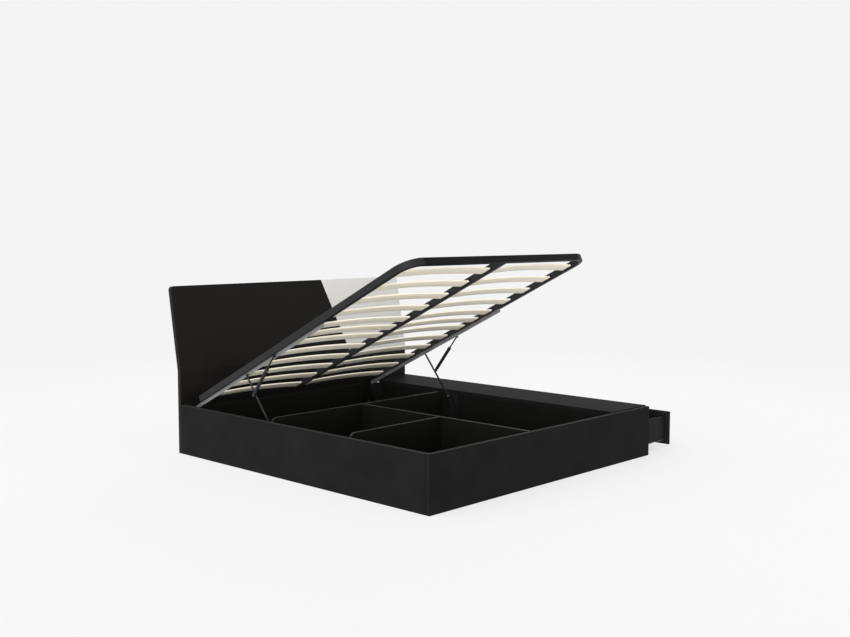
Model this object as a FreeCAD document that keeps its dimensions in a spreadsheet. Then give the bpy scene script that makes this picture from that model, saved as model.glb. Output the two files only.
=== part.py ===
import FreeCAD, Part
import math
import os

# Lift-up storage bed: a box base, a slatted platform that lifts, a side ledge and drawers under the ledge.
# Lengths are millimetres and angles are degrees. +X is the drawer side, +Y the headboard and +Z up.
# The origin is the middle of the base, on the floor. The platform is modelled lifted, with drawers open.

DIMENSIONS = (
    # Base box
    ("base_width", 1940),
    ("base_length", 2088),
    ("base_height", 300),
    ("panel_thickness", 25),
    ("edge_radius", 1.5),
    ("joint_groove_width", 4),
    ("joint_groove_depth", 6),
    # Ledge and drawer bays
    ("ledge_width", 355),
    ("ledge_thickness", 25),
    ("ledge_rise", 5),
    ("wall_thickness", 16),
    ("partition_thickness", 18),
    # Storage floor and dividers
    ("pad_height", 10),
    ("pad_radius", 22),
    ("floor_thickness", 12),
    ("divider_thickness", 18),
    ("divider_corner_radius", 30),
    ("lift_gap", 80),
    ("head_panel_drop", 23),
    ("block_side", 40),
    ("bolt_radius", 4),
    ("bolt_head_radius", 7),
    ("bolt_head_height", 5),
    ("bolt_clearance", 0.1),
    # Headboard
    ("headboard_thickness", 30),
    ("bend_height", 512),
    ("lean_angle", 9.8),
    ("lean_length", 519),
    ("headboard_corner_radius", 26),
    ("batten_width", 70),
    ("batten_thickness", 22),
    ("batten_bottom", 150),
    ("batten_top_along_lean", 400),
    # Slatted platform
    ("platform_side_gap", 27),
    ("rail_width", 30),
    ("rail_height", 38),
    ("rail_radius", 4),
    ("head_rail_width", 16),
    ("foot_corner_radius", 112),
    ("middle_rail_width", 26),
    ("slat_width", 72),
    ("slat_thickness", 9),
    ("slat_bow", 12),
    ("slat_end_gap", 3),
    ("slat_lift", 10),
    ("slat_seat_gap", 0.3),
    ("first_slat_gap", 39),
    ("last_slat_gap", 39),
    ("holder_length", 76),
    ("holder_depth", 10),
    ("holder_height", 22),
    ("holder_floor", 2),
    ("holder_slack", 5),
    # Lift
    ("open_angle", 26),
    ("pivot_from_head", 82.4),
    ("pivot_travel", 46.4),
    ("pivot_drop", 14),
    ("rest_gap", 5),
    ("foot_rail_inset", 15),
    ("pivot_to_head_rail", 59),
    ("pivot_pin_radius", 5),
    ("running_clearance", 0.05),
    ("running_gap", 0.3),
    ("slider_length", 24),
    ("slider_height", 14),
    ("slot_bracket_thickness", 5),
    ("slot_bracket_margin", 14),
    ("slot_bracket_height", 84),
    ("slot_bracket_rise", 3),
    ("lift_bar_thickness", 3),
    ("lift_bar_flange", 10),
    ("lift_bar_below_pins", 6),
    ("lift_bar_overhang", 20),
    ("lift_bar_offset", 47),
    ("link_offset", 35),
    ("link_thickness", 4),
    ("link_width", 12),
    ("roller_floor_gap", 32.8),
    ("link_open_angle", 51.4),
    ("link_closed_angle", 44),
    ("link_pin_radius", 4),
    ("link_collar_radius", 6),
    ("pin_head_thickness", 3),
    ("pin_clearance", 0.1),
    ("guide_thickness", 6),
    ("guide_margin", 16),
    ("roller_radius", 7),
    ("roller_clearance", 0.4),
    ("roller_wall_gap", 1),
    ("roller_length", 7),
    ("gas_offset", 22),
    ("gas_radius", 10.5),
    ("gas_wall", 2),
    ("gas_start", 14),
    ("gas_gland", 12),
    ("gas_neck_radius", 4.4),
    ("gas_eye_radius", 10),
    ("gas_eye_thickness", 10),
    ("rod_radius", 4.6),
    ("rod_eye_radius", 9),
    ("piston_length", 10),
    ("piston_gap", 0.2),
    ("piston_stop_gap", 5),
    ("open_pivot_gap", 0.4),
    # Drawers
    ("front_bottom", 22),
    ("fascia_height", 48),
    ("front_thickness", 18),
    ("front_gap", 3),
    ("drawer_bottom", 52),
    ("drawer_top_drop", 27),
    ("drawer_back_gap", 16),
    ("drawer_side_gap", 26),
    ("drawer_wall", 12),
    ("drawer_floor", 6),
    ("drawer_floor_lift", 6),
    ("runner_back_gap", 18),
    ("runner_width", 26),
    ("runner_thickness", 2.5),
    ("runner_inset", 2),
    ("runner_front_gap", 3),
    ("bearer_width", 60),
)

# Counts, and shares of other sizes
DRAWERS = ("foot", "middle", "head")
DRAWER_PULL_SHARES = {"foot": 0.97, "middle": 0, "head": 1}
BATTEN_SHARES = (0.12, 0.665, 0.9)
BOLT_HEIGHT_SHARES = (0.25, 0.75)
BLOCK_HEIGHT_SHARE = 0.54
PAD_COLUMN_SHARES = (-0.41, -0.205, 0, 0.205)
PAD_ROW_SHARES = (-0.43, 0, 0.43)
HEAD_DIVIDER_SHARE = 0.3616
FOOT_DIVIDER_SHARE = 0.6777
DIAGONAL_BOTTOM_SHARE = 0.7186
DIAGONAL_TOP_SHARE = 0.6204
MIDDLE_STEP_SHARE = 0.747
LIFT_BAR_SHARE = 0.635
LINK_PIVOT_SHARE = 1.631
GAS_ARM_SHARE = 0.4
GAS_STUD_SHARE = 2.528
GAS_TUBE_SHARE = 0.6
HEAD_ZONE_STEPS = 5
MIDDLE_ZONE_STEPS = 2
FOOT_ZONE_STEPS = 4
MID_RUNNER_SHARE = 0.5

doc = FreeCAD.newDocument("storage_bed")
sheet = doc.addObject("Spreadsheet::Sheet", "dims")
for row, (alias, value) in enumerate(DIMENSIONS, start=1):
    sheet.set(f"A{row}", alias)
    sheet.set(f"B{row}", str(value))
    sheet.setAlias(f"B{row}", alias)
doc.recompute()

# Places that several pieces share, as sums of the sheet's dimensions
LEFT = "(-dims.base_width / 2)"
RIGHT = "(dims.base_width / 2)"
FOOT = "(-dims.base_length / 2)"
HEAD = "(dims.base_length / 2)"
INSIDE_LEFT = f"({LEFT} + dims.panel_thickness)"
INSIDE_FOOT = f"({FOOT} + dims.panel_thickness)"
LEDGE_LEFT = f"({RIGHT} - dims.ledge_width)"
STORAGE_MIDDLE = f"(({INSIDE_LEFT} + {LEDGE_LEFT}) / 2)"
FLOOR_TOP = "(dims.pad_height + dims.floor_thickness)"
DIVIDER_LEFT = f"({INSIDE_LEFT} + dims.lift_gap)"
DIVIDER_SPAN = f"({LEDGE_LEFT} - {INSIDE_LEFT} - 2 * dims.lift_gap)"
DIVIDER_HEIGHT = f"(dims.base_height - {FLOOR_TOP})"
HEAD_DIVIDER_FACE = f"({HEAD} - {HEAD_DIVIDER_SHARE} * dims.base_length - dims.divider_thickness / 2)"
FOOT_DIVIDER_FACE = f"({HEAD} - {FOOT_DIVIDER_SHARE} * dims.base_length - dims.divider_thickness / 2)"
LEDGE_UNDERSIDE = "(dims.base_height + dims.ledge_rise - dims.ledge_thickness)"
BAY_LEFT = f"({LEDGE_LEFT} + dims.wall_thickness)"
BAY_RIGHT = f"({RIGHT} - dims.front_thickness)"
BAY_LENGTH = "(dims.base_length - dims.panel_thickness)"
BAY_COUNT = len(DRAWERS)
BAY_CLEAR = f"(({BAY_LENGTH} - {BAY_COUNT - 1} * dims.partition_thickness) / {BAY_COUNT})"
FRONT_LENGTH = f"(({BAY_LENGTH} - {BAY_COUNT + 1} * dims.front_gap) / {BAY_COUNT})"
BAY_DEPTH = f"({BAY_RIGHT} - {BAY_LEFT})"
FASCIA_BOTTOM = f"({LEDGE_UNDERSIDE} - dims.fascia_height)"
FRONT_HEIGHT = f"({FASCIA_BOTTOM} - dims.front_gap - dims.front_bottom)"
DRAWER_HEIGHT = f"(dims.front_bottom + {FRONT_HEIGHT} - dims.drawer_top_drop - dims.drawer_bottom)"
DRAWER_DEPTH = f"({BAY_DEPTH} - dims.drawer_back_gap)"
RUNNER_LENGTH = f"({BAY_DEPTH} - dims.runner_front_gap - dims.runner_back_gap)"
PLATFORM_LEFT = f"({INSIDE_LEFT} + dims.platform_side_gap)"
PLATFORM_RIGHT = f"({LEDGE_LEFT} - dims.platform_side_gap)"
PLATFORM_WIDTH = f"({PLATFORM_RIGHT} - {PLATFORM_LEFT})"
PIVOT_FROM_HEAD_CLOSED = "(dims.pivot_from_head - dims.pivot_travel)"
PIVOT_TO_FOOT = f"(dims.base_length - dims.foot_rail_inset - {PIVOT_FROM_HEAD_CLOSED})"
PIVOT_HEIGHT = "(dims.base_height + dims.rest_gap - dims.pivot_drop)"
LINK_DROP = f"({PIVOT_HEIGHT} - {FLOOR_TOP} - dims.roller_floor_gap)"
LINK_LENGTH = f"({LINK_DROP} / sin(dims.link_closed_angle))"
LINK_PIVOT = f"({LINK_PIVOT_SHARE} * {LINK_LENGTH})"
GAS_ARM = f"({GAS_ARM_SHARE} * {LINK_LENGTH})"
GAS_STUD = f"({GAS_STUD_SHARE} * {LINK_LENGTH})"
GAS_TUBE_END = f"({GAS_TUBE_SHARE} * {LINK_LENGTH})"
PIVOT_HOLE_RADIUS = "(dims.link_pin_radius + dims.pin_clearance)"
LIFT_BAR_END = f"({LIFT_BAR_SHARE} * {PIVOT_TO_FOOT})"
BLOCK_HEIGHT = f"({BLOCK_HEIGHT_SHARE} * dims.base_height)"
GAS_EYE = (
    "(dims.gas_offset - dims.gas_eye_thickness / 2)",
    "(dims.gas_offset + dims.gas_eye_thickness / 2)",
)
FIXED_RUNNER_BOTTOM = "(dims.drawer_bottom - 3 * dims.runner_thickness - 2 * dims.running_gap)"

SIDES = {"left": (INSIDE_LEFT, 1), "right": (LEDGE_LEFT, -1)}
ALONG_X = FreeCAD.Rotation(FreeCAD.Vector(0, 1, 0), 90)
ALONG_FOOT = FreeCAD.Rotation(FreeCAD.Vector(1, 0, 0), 90)
LEVEL = FreeCAD.Rotation()
BED = FreeCAD.Placement()

nodes = []


def number(expression):
    """The value of a sum of the sheet's dimensions."""
    return float(sheet.evalExpression(expression))


def tilted(origin, angle):
    """A frame whose -Y axis points towards the foot and rises by the angle."""
    return FreeCAD.Placement(origin, FreeCAD.Rotation(FreeCAD.Vector(1, 0, 0), -angle))


def placed(frame, x, y, z, turn=LEVEL):
    """A place in a frame, from sums of dimensions."""
    corner = FreeCAD.Vector(number(x), number(y), number(z))
    return frame.multiply(FreeCAD.Placement(corner, turn))


def node(piece):
    """Marks a piece as a sub-part of its own."""
    nodes.append(piece)
    return piece


def ease(body, feature):
    """Eases all edges of a body's last feature."""
    doc.recompute()
    easing = body.newObject("PartDesign::Fillet", body.Name + "_easing")
    easing.Base = (feature, ["Face1"])
    easing.UseAllEdges = True
    easing.setExpression("Radius", "dims.edge_radius")


def board(label, x, y, z, frame=BED):
    """A board with eased edges; each axis is a start and an extent."""
    body = doc.addObject("PartDesign::Body", label)
    block = body.newObject("PartDesign::AdditiveBox", label + "_block")
    for name, axis in zip(("Length", "Width", "Height"), (x, y, z)):
        block.setExpression(name, axis[1])
    ease(body, block)
    body.Placement = placed(frame, x[0], y[0], z[0])
    return body


def bar(label, x, y, z, frame=BED):
    """A plain square-edged bar; each axis is a start and an extent."""
    box = doc.addObject("Part::Box", label)
    for name, axis in zip(("Length", "Width", "Height"), (x, y, z)):
        box.setExpression(name, axis[1])
    box.Placement = placed(frame, x[0], y[0], z[0])
    return box


def round_bar(label, radius, length, x, y, z, turn, frame=BED):
    """A round bar from a start point along the turned axis."""
    cylinder = doc.addObject("Part::Cylinder", label)
    cylinder.setExpression("Radius", radius)
    cylinder.setExpression("Height", length)
    cylinder.Placement = placed(frame, x, y, z, turn)
    return cylinder


def across(side, near, far):
    """Start and extent along X of what lies between two distances from a storage wall."""
    wall, inward = SIDES[side]
    start = f"({wall} + ({near}))" if inward > 0 else f"({wall} - ({far}))"
    return start, f"(({far}) - ({near}))"


def cross_pin(label, side, near, far, radius, y, z="0", frame=BED):
    """A round pin square to a storage wall, between two distances from it."""
    start, extent = across(side, near, far)
    return round_bar(label, radius, extent, start, y, z, ALONG_X, frame)


def group(label, pieces):
    """Separate solids that share one node."""
    compound = doc.addObject("Part::Compound", label)
    compound.Links = pieces
    return compound


def joined(label, pieces):
    """Pieces made into one solid."""
    fuse = doc.addObject("Part::MultiFuse", label)
    fuse.Shapes = pieces
    fuse.Refine = True
    return fuse


def cut(label, base, tools):
    """A piece with the tools taken away."""
    tool = tools[0] if len(tools) == 1 else joined(label + "_cutters", tools)
    result = doc.addObject("Part::Cut", label)
    result.Base = base
    result.Tool = tool
    return result


def body_sketch(label, plane_role):
    """A body with an empty sketch on one of its own planes."""
    body = doc.addObject("PartDesign::Body", label)
    plane = [item for item in body.Origin.OriginFeatures if item.Role == plane_role][0]
    sketch = body.newObject("Sketcher::SketchObject", label + "_outline")
    sketch.AttachmentSupport = (plane, [""])
    sketch.MapMode = "FlatFace"
    return body, sketch


def pad(body, sketch, length):
    """Pads a body's sketch by a bound length."""
    doc.recompute()
    feature = body.newObject("PartDesign::Pad", body.Name + "_pad")
    feature.Profile = sketch
    feature.setExpression("Length", length)
    return feature


def draw_polygon(sketch, points):
    """Closes straight lines through points given as pairs."""
    corners = [FreeCAD.Vector(a, b, 0) for a, b in points]
    for start, end in zip(corners, corners[1:] + corners[:1]):
        sketch.addGeometry(Part.LineSegment(start, end))


def draw_corner(sketch, corner, inward, radius):
    """Draws the quarter round of a top corner; inward is 1 for a left corner and -1 for a right one."""
    diagonal = radius * (1 - math.sqrt(0.5))
    below = corner - FreeCAD.Vector(0, radius, 0)
    middle = corner + FreeCAD.Vector(inward * diagonal, -diagonal, 0)
    beside = corner + FreeCAD.Vector(inward * radius, 0, 0)
    sketch.addGeometry(Part.Arc(below, middle, beside))


def draw_rounded_rectangle(sketch, low, high, radius):
    """Draws a rectangle with round corners between two pairs."""
    (a0, b0), (a1, b1) = low, high
    diagonal = radius * (1 - math.sqrt(0.5))
    corners = (
        ((a1 - radius, b0), (a1 - diagonal, b0 + diagonal), (a1, b0 + radius)),
        ((a1, b1 - radius), (a1 - diagonal, b1 - diagonal), (a1 - radius, b1)),
        ((a0 + radius, b1), (a0 + diagonal, b1 - diagonal), (a0, b1 - radius)),
        ((a0, b0 + radius), (a0 + diagonal, b0 + diagonal), (a0 + radius, b0)),
    )
    vectors = [[FreeCAD.Vector(a, b, 0) for a, b in corner] for corner in corners]
    for corner, following in zip(vectors, vectors[1:] + vectors[:1]):
        sketch.addGeometry(Part.Arc(*corner))
        sketch.addGeometry(Part.LineSegment(corner[-1], following[0]))


# Base box


def base_panels():
    """Side, foot and inner head panels, with a groove in the side panel where it meets the foot panel."""
    full_height = ("0", "dims.base_height")
    side = board("left_side_board", (LEFT, "dims.panel_thickness"), (INSIDE_FOOT, BAY_LENGTH), full_height)
    groove = bar("joint_groove", (LEFT, "dims.joint_groove_depth"), (INSIDE_FOOT, "dims.joint_groove_width"),
                 full_height)
    node(cut("left_side_panel", side, [groove]))
    node(board("foot_panel", (LEFT, "dims.base_width"), (FOOT, "dims.panel_thickness"), full_height))
    across_head = (f"{HEAD} - dims.divider_thickness", "dims.divider_thickness")
    height = (FLOOR_TOP, f"{DIVIDER_HEIGHT} - dims.head_panel_drop")
    node(board("head_cross_panel", (DIVIDER_LEFT, DIVIDER_SPAN), across_head, height))


def ledge_and_bays():
    """The ledge's top, its inner wall, the fascia and the partitions between the drawers."""
    along = (INSIDE_FOOT, BAY_LENGTH)
    top_height = (LEDGE_UNDERSIDE, "dims.ledge_thickness")
    under_ledge = ("0", LEDGE_UNDERSIDE)
    node(board("ledge_top", (LEDGE_LEFT, "dims.ledge_width"), along, top_height))
    node(board("bay_inner_wall", (LEDGE_LEFT, "dims.wall_thickness"), along, under_ledge))
    fascia_height = (FASCIA_BOTTOM, f"{LEDGE_UNDERSIDE} - {FASCIA_BOTTOM}")
    node(board("drawer_fascia", (BAY_RIGHT, "dims.front_thickness"), along, fascia_height))
    depth = (BAY_LEFT, BAY_DEPTH)
    for index, name in enumerate(("foot", "head"), start=1):
        across_bay = (f"{bay_start(index)} - dims.partition_thickness", "dims.partition_thickness")
        node(board(f"bay_partition_{name}", depth, across_bay, under_ledge))


def bay_start(index):
    """The foot end of a drawer bay's clear length."""
    return f"({INSIDE_FOOT} + {index} * ({BAY_CLEAR} + dims.partition_thickness))"


def cross_divider(label, span, face, far_corner):
    """A divider across the box, with the top corner rounded at each free end."""
    body, sketch = body_sketch(label, "XZ_Plane")
    length, height, radius = number(span), number(DIVIDER_HEIGHT), number("dims.divider_corner_radius")
    start, end = FreeCAD.Vector(0, 0, 0), FreeCAD.Vector(length, 0, 0)
    top_start, top_end = FreeCAD.Vector(radius, height, 0), FreeCAD.Vector(length - far_corner, height, 0)
    draw_corner(sketch, FreeCAD.Vector(0, height, 0), 1, radius)
    sketch.addGeometry(Part.LineSegment(FreeCAD.Vector(0, height - radius, 0), start))
    sketch.addGeometry(Part.LineSegment(start, end))
    sketch.addGeometry(Part.LineSegment(end, FreeCAD.Vector(length, height - far_corner, 0)))
    if far_corner:
        draw_corner(sketch, FreeCAD.Vector(length, height, 0), -1, far_corner)
    sketch.addGeometry(Part.LineSegment(top_end, top_start))
    feature = pad(body, sketch, "dims.divider_thickness")
    ease(body, feature)
    body.Placement = placed(BED, DIVIDER_LEFT, f"{face} + dims.divider_thickness", FLOOR_TOP)
    node(body)


def dividers():
    """The lengthwise divider and the two cross dividers, all level with the base's rim."""
    middle = (f"({STORAGE_MIDDLE} - dims.divider_thickness / 2)", "dims.divider_thickness")
    height = (FLOOR_TOP, DIVIDER_HEIGHT)
    node(board("long_divider", middle, (INSIDE_FOOT, f"{HEAD_DIVIDER_FACE} - {INSIDE_FOOT}"), height))
    corner = number("dims.divider_corner_radius")
    cross_divider("cross_divider_head", DIVIDER_SPAN, HEAD_DIVIDER_FACE, corner)
    cross_divider("cross_divider_foot", f"({middle[0]} - {DIVIDER_LEFT})", FOOT_DIVIDER_FACE, 0)


def storage_floor():
    """Two floor boards that meet under the lengthwise divider, on round pads."""
    along = (INSIDE_FOOT, BAY_LENGTH)
    height = ("dims.pad_height", "dims.floor_thickness")
    left = board("floor_board_left", (INSIDE_LEFT, f"{STORAGE_MIDDLE} - {INSIDE_LEFT}"), along, height)
    right = board("floor_board_right", (STORAGE_MIDDLE, f"{LEDGE_LEFT} - {STORAGE_MIDDLE}"), along, height)
    node(group("floor_boards", [left, right]))
    pads = []
    for column in PAD_COLUMN_SHARES:
        for line in PAD_ROW_SHARES:
            x, y = f"{column} * dims.base_width", f"{line} * dims.base_length"
            pads.append(round_bar("floor_pad", "dims.pad_radius", "dims.pad_height", x, y, "0", LEVEL))
    node(group("floor_pads", pads))


def corner_blocks():
    """Blocks in the corners of the storage box, each with bolts into the panel beside it."""
    blocks, bolts = [], []
    size = "dims.block_side"
    hole_radius = "dims.bolt_radius + dims.bolt_clearance"
    head_far = f"{size} + dims.bolt_head_height"
    for side in SIDES:
        for y in (INSIDE_FOOT, f"({HEAD} - {size})"):
            whole = bar("corner_block", across(side, "0", size), (y, size), (FLOOR_TOP, BLOCK_HEIGHT))
            holes = []
            for share in BOLT_HEIGHT_SHARES:
                middle = (f"{y} + {size} / 2", f"{FLOOR_TOP} + {share} * {BLOCK_HEIGHT}")
                holes.append(cross_pin("bolt_hole", side, "0", size, hole_radius, *middle))
                shank = cross_pin("bolt_shank", side, "0", size, "dims.bolt_radius", *middle)
                cap = cross_pin("bolt_cap", side, size, head_far, "dims.bolt_head_radius", *middle)
                bolts.append(joined("corner_bolt", [shank, cap]))
            blocks.append(cut("drilled_block", whole, holes))
    node(group("corner_blocks", blocks))
    node(group("corner_bolts", bolts))


# Headboard


def lean_point(x, along, back):
    """A point of the leaning part: distance along its slope from the bend, and behind its front face."""
    lean = math.radians(number("dims.lean_angle"))
    y = number(HEAD) + along * math.sin(lean) + back * math.cos(lean)
    z = number("dims.bend_height") + along * math.cos(lean) - back * math.sin(lean)
    return FreeCAD.Vector(x, y, z)


def mitre_drop(back):
    """How far the mitre at the bend lies below the front edge, at a distance behind the front face."""
    return back * math.tan(math.radians(number("dims.lean_angle / 2")))


def headboard_lower():
    """The upright part, mitred at the bend."""
    thickness, bend = number("dims.headboard_thickness"), number("dims.bend_height")
    body, sketch = body_sketch("headboard_lower_panel", "YZ_Plane")
    top_back = bend - mitre_drop(thickness)
    draw_polygon(sketch, ((0, 0), (thickness, 0), (thickness, top_back), (0, bend)))
    pad(body, sketch, "dims.base_width")
    body.Placement = placed(BED, LEFT, HEAD, "0")
    node(body)


def leaning_panel(label, bottom, top, outer):
    """A leaning panel between the ends of its bottom and top edges, with its outer top corner rounded."""
    slope, thickness = number("dims.lean_length"), number("dims.headboard_thickness")
    carry = FreeCAD.Vector(0, thickness, -mitre_drop(thickness))
    low = [lean_point(x, 0, 0) for x in bottom]
    high = [lean_point(x, slope, 0) for x in reversed(top)]
    outline = Part.makePolygon(low + high + low[:1])
    solid = Part.Face(outline).extrude(carry)
    corner_middle = lean_point(outer, slope, 0) + carry * 0.5
    corner_edge = min(solid.Edges, key=lambda edge: edge.CenterOfMass.distanceToPoint(corner_middle))
    panel = doc.addObject("Part::Feature", label)
    panel.Shape = solid.makeFillet(number("dims.headboard_corner_radius"), [corner_edge])
    node(panel)


def headboard_upper():
    """The dark and the pale leaning panels, which meet along a diagonal."""
    left, right = number(LEFT), number(RIGHT)
    low = left + DIAGONAL_BOTTOM_SHARE * (right - left)
    high = left + DIAGONAL_TOP_SHARE * (right - left)
    leaning_panel("headboard_upper_panel", (left, low), (left, high), left)
    leaning_panel("headboard_pale_panel", (low, right), (high, right), right)


def headboard_battens():
    """Bent battens behind the headboard, which hold its upper and lower parts together."""
    thickness, bend = number("dims.headboard_thickness"), number("dims.bend_height")
    outer = thickness + number("dims.batten_thickness")
    top = number("dims.batten_top_along_lean")
    bottom = number("dims.batten_bottom")
    ends = [lean_point(0, top, back) for back in (thickness, outer)]
    top_inner, top_outer = [(end.y - number(HEAD), end.z) for end in ends]
    battens = []
    for share in BATTEN_SHARES:
        body, sketch = body_sketch("headboard_batten", "YZ_Plane")
        inner_bend = (thickness, bend - mitre_drop(thickness))
        outer_bend = (outer, bend - mitre_drop(outer))
        foot_inner, foot_outer = (thickness, bottom), (outer, bottom)
        draw_polygon(sketch, (foot_inner, foot_outer, outer_bend, top_outer, top_inner, inner_bend))
        pad(body, sketch, "dims.batten_width")
        body.Placement = placed(BED, f"{LEFT} + {share} * dims.base_width - dims.batten_width / 2", HEAD, "0")
        battens.append(body)
    node(group("headboard_battens", battens))


# Lift geometry, from closed at 0 to lifted at 1


def pivot_point(lifted):
    """The platform's pivot, which slides away from the head as the platform rises."""
    from_head = number(PIVOT_FROM_HEAD_CLOSED) + lifted * number("dims.pivot_travel")
    return FreeCAD.Vector(0, number(HEAD) - from_head, number(PIVOT_HEIGHT))


def platform_frame(lifted=1.0):
    """The platform's own frame at its pivot."""
    return tilted(pivot_point(lifted), lifted * number("dims.open_angle"))


def stay_angle(lifted):
    """The stay's rise from the level, less than zero as it hangs; it turns evenly with the platform."""
    closed = -number("dims.link_closed_angle")
    opened = -number("dims.link_open_angle + dims.open_angle")
    return lifted * number("dims.open_angle") + closed + lifted * (opened - closed)


def stay_frame(lifted=1.0):
    """The stay's own frame at its pivot on the platform."""
    pivot = platform_frame(lifted).multVec(FreeCAD.Vector(0, -number(LINK_PIVOT), 0))
    return tilted(pivot, stay_angle(lifted))


def gas_ends(lifted=1.0):
    """The gas spring's lower end on the stay and its upper end on the platform."""
    lower = stay_frame(lifted).multVec(FreeCAD.Vector(0, -number(GAS_ARM), 0))
    upper = platform_frame(lifted).multVec(FreeCAD.Vector(0, -number(GAS_STUD), 0))
    return lower, upper


def gas_frame():
    """The gas spring's own frame at its lower end."""
    lower, upper = gas_ends()
    reach = upper - lower
    return tilted(lower, math.degrees(math.atan2(reach.z, -reach.y)))


PLATFORM = platform_frame()
STAY = stay_frame()
GAS = gas_frame()
GAS_LENGTH = (gas_ends()[1] - gas_ends()[0]).Length


# Slatted platform


def straight_rail(label, x, y, length, sideways, width="dims.rail_width"):
    """A rail with rounded long edges, along the platform or across it."""
    body, sketch = body_sketch(label, "YZ_Plane" if sideways else "XZ_Plane")
    far_corner = (number(width), number("dims.rail_height"))
    draw_rounded_rectangle(sketch, (0, 0), far_corner, number("dims.rail_radius"))
    pad(body, sketch, length)
    body.Placement = placed(PLATFORM, x, y, "dims.pivot_drop")
    node(body)


def foot_bend(label, x, turn):
    """A quarter bend between a side rail and the foot rail."""
    body, sketch = body_sketch(label, "XZ_Plane")
    outer, width = number("dims.foot_corner_radius"), number("dims.rail_width")
    low, high = (outer - width, 0), (outer, number("dims.rail_height"))
    draw_rounded_rectangle(sketch, low, high, number("dims.rail_radius"))
    doc.recompute()
    sweep = body.newObject("PartDesign::Revolution", label + "_turn")
    sweep.Profile = sketch
    sweep.ReferenceAxis = (sketch, ["V_Axis"])
    sweep.Angle = 90
    y = f"-({PIVOT_TO_FOOT} - dims.foot_corner_radius)"
    quarter = FreeCAD.Rotation(FreeCAD.Vector(0, 0, 1), turn)
    body.Placement = placed(PLATFORM, x, y, "dims.pivot_drop", quarter)
    return body


def platform_rails():
    """The slatted platform's frame and its middle rail."""
    head_end = "-dims.pivot_to_head_rail"
    side_length = f"{PIVOT_TO_FOOT} - dims.foot_corner_radius - dims.pivot_to_head_rail"
    straight_rail("platform_rail_left", PLATFORM_LEFT, head_end, side_length, False)
    straight_rail("platform_rail_right", f"{PLATFORM_RIGHT} - dims.rail_width", head_end, side_length, False)
    foot_span = f"{PLATFORM_WIDTH} - 2 * dims.foot_corner_radius"
    straight_rail("platform_rail_foot", f"{PLATFORM_LEFT} + dims.foot_corner_radius", f"-{PIVOT_TO_FOOT}",
                  foot_span, True)
    head_span = f"{PLATFORM_WIDTH} - 2 * dims.rail_width"
    straight_rail("platform_rail_head", f"{PLATFORM_LEFT} + dims.rail_width",
                  "-dims.pivot_to_head_rail - dims.head_rail_width", head_span, True, "dims.head_rail_width")
    left = foot_bend("foot_bend_left", f"{PLATFORM_LEFT} + dims.foot_corner_radius", 180)
    right = foot_bend("foot_bend_right", f"{PLATFORM_RIGHT} - dims.foot_corner_radius", 270)
    node(group("platform_foot_bends", [left, right]))
    inside = f"({PIVOT_TO_FOOT} - dims.pivot_to_head_rail - dims.rail_width - dims.head_rail_width)"
    width = (f"{STORAGE_MIDDLE} - dims.middle_rail_width / 2", "dims.middle_rail_width")
    along = (f"-{PIVOT_TO_FOOT} + dims.rail_width", inside)
    node(board("platform_middle_rail", width, along, ("dims.pivot_drop", "dims.rail_height"), PLATFORM))


def slat_places():
    """Each slat's middle, as its distance from the pivot, closer together in the middle zone."""
    steps = [1] * HEAD_ZONE_STEPS + [MIDDLE_STEP_SHARE] * MIDDLE_ZONE_STEPS + [1] * FOOT_ZONE_STEPS
    first = number("dims.pivot_to_head_rail + dims.head_rail_width + dims.first_slat_gap")
    last = number(f"{PIVOT_TO_FOOT} - dims.foot_corner_radius - dims.last_slat_gap")
    places = [first]
    for step in steps:
        places.append(places[-1] + step * (last - first) / sum(steps))
    return places


def bays():
    """Both bays between the rails: name, left edge and right edge."""
    half = "dims.middle_rail_width / 2"
    left = (f"{PLATFORM_LEFT} + dims.rail_width", f"{STORAGE_MIDDLE} - {half}")
    right = (f"{STORAGE_MIDDLE} + {half}", f"{PLATFORM_RIGHT} - dims.rail_width")
    return (("left", number(left[0]), number(left[1])), ("right", number(right[0]), number(right[1])))


def slat_shape(start, end, place):
    """One slat, bowed upwards between its ends."""
    gap, bow = number("dims.slat_end_gap"), number("dims.slat_bow")
    bottom = number("dims.pivot_drop + dims.slat_lift")
    top = bottom + number("dims.slat_thickness")
    y = -place + number("dims.slat_width / 2")
    x0, x1 = start + gap, end - gap
    middle = (x0 + x1) / 2
    corners = [FreeCAD.Vector(x, y, z) for x, z in ((x0, bottom), (x1, bottom), (x1, top), (x0, top))]
    crowns = [FreeCAD.Vector(middle, y, z + bow) for z in (bottom, top)]
    edges = [
        Part.Arc(corners[0], crowns[0], corners[1]),
        Part.LineSegment(corners[1], corners[2]),
        Part.Arc(corners[2], crowns[1], corners[3]),
        Part.LineSegment(corners[3], corners[0]),
    ]
    face = Part.Face(Part.Wire([edge.toShape() for edge in edges]))
    return face.extrude(FreeCAD.Vector(0, -number("dims.slat_width"), 0))


def holder_shape(rail_face, inward, place):
    """A cap on a rail's inner face, with a pocket that the slat's end rests in."""
    depth = number("dims.holder_depth")
    length, height = number("dims.holder_length"), number("dims.holder_height")
    slat_bottom = number("dims.pivot_drop + dims.slat_lift")
    bottom = slat_bottom - number("dims.slat_seat_gap + dims.holder_floor")
    cap = Part.makeBox(depth, length, height)
    pocket_length = number("dims.slat_width + 2 * dims.slat_seat_gap")
    pocket_height = number("dims.slat_thickness + dims.slat_seat_gap + dims.holder_slack")
    pocket = Part.makeBox(depth, pocket_length, pocket_height)
    pocket.translate(FreeCAD.Vector(0, (length - pocket_length) / 2, number("dims.holder_floor")))
    x = rail_face if inward > 0 else rail_face - depth
    shape = cap.cut(pocket)
    shape.translate(FreeCAD.Vector(x, -place - length / 2, bottom))
    return shape


def in_platform(label, shapes):
    """Shapes drawn in the platform's frame, as one node."""
    feature = doc.addObject("Part::Feature", label)
    feature.Shape = Part.Compound(shapes)
    feature.Placement = PLATFORM
    node(feature)


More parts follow.
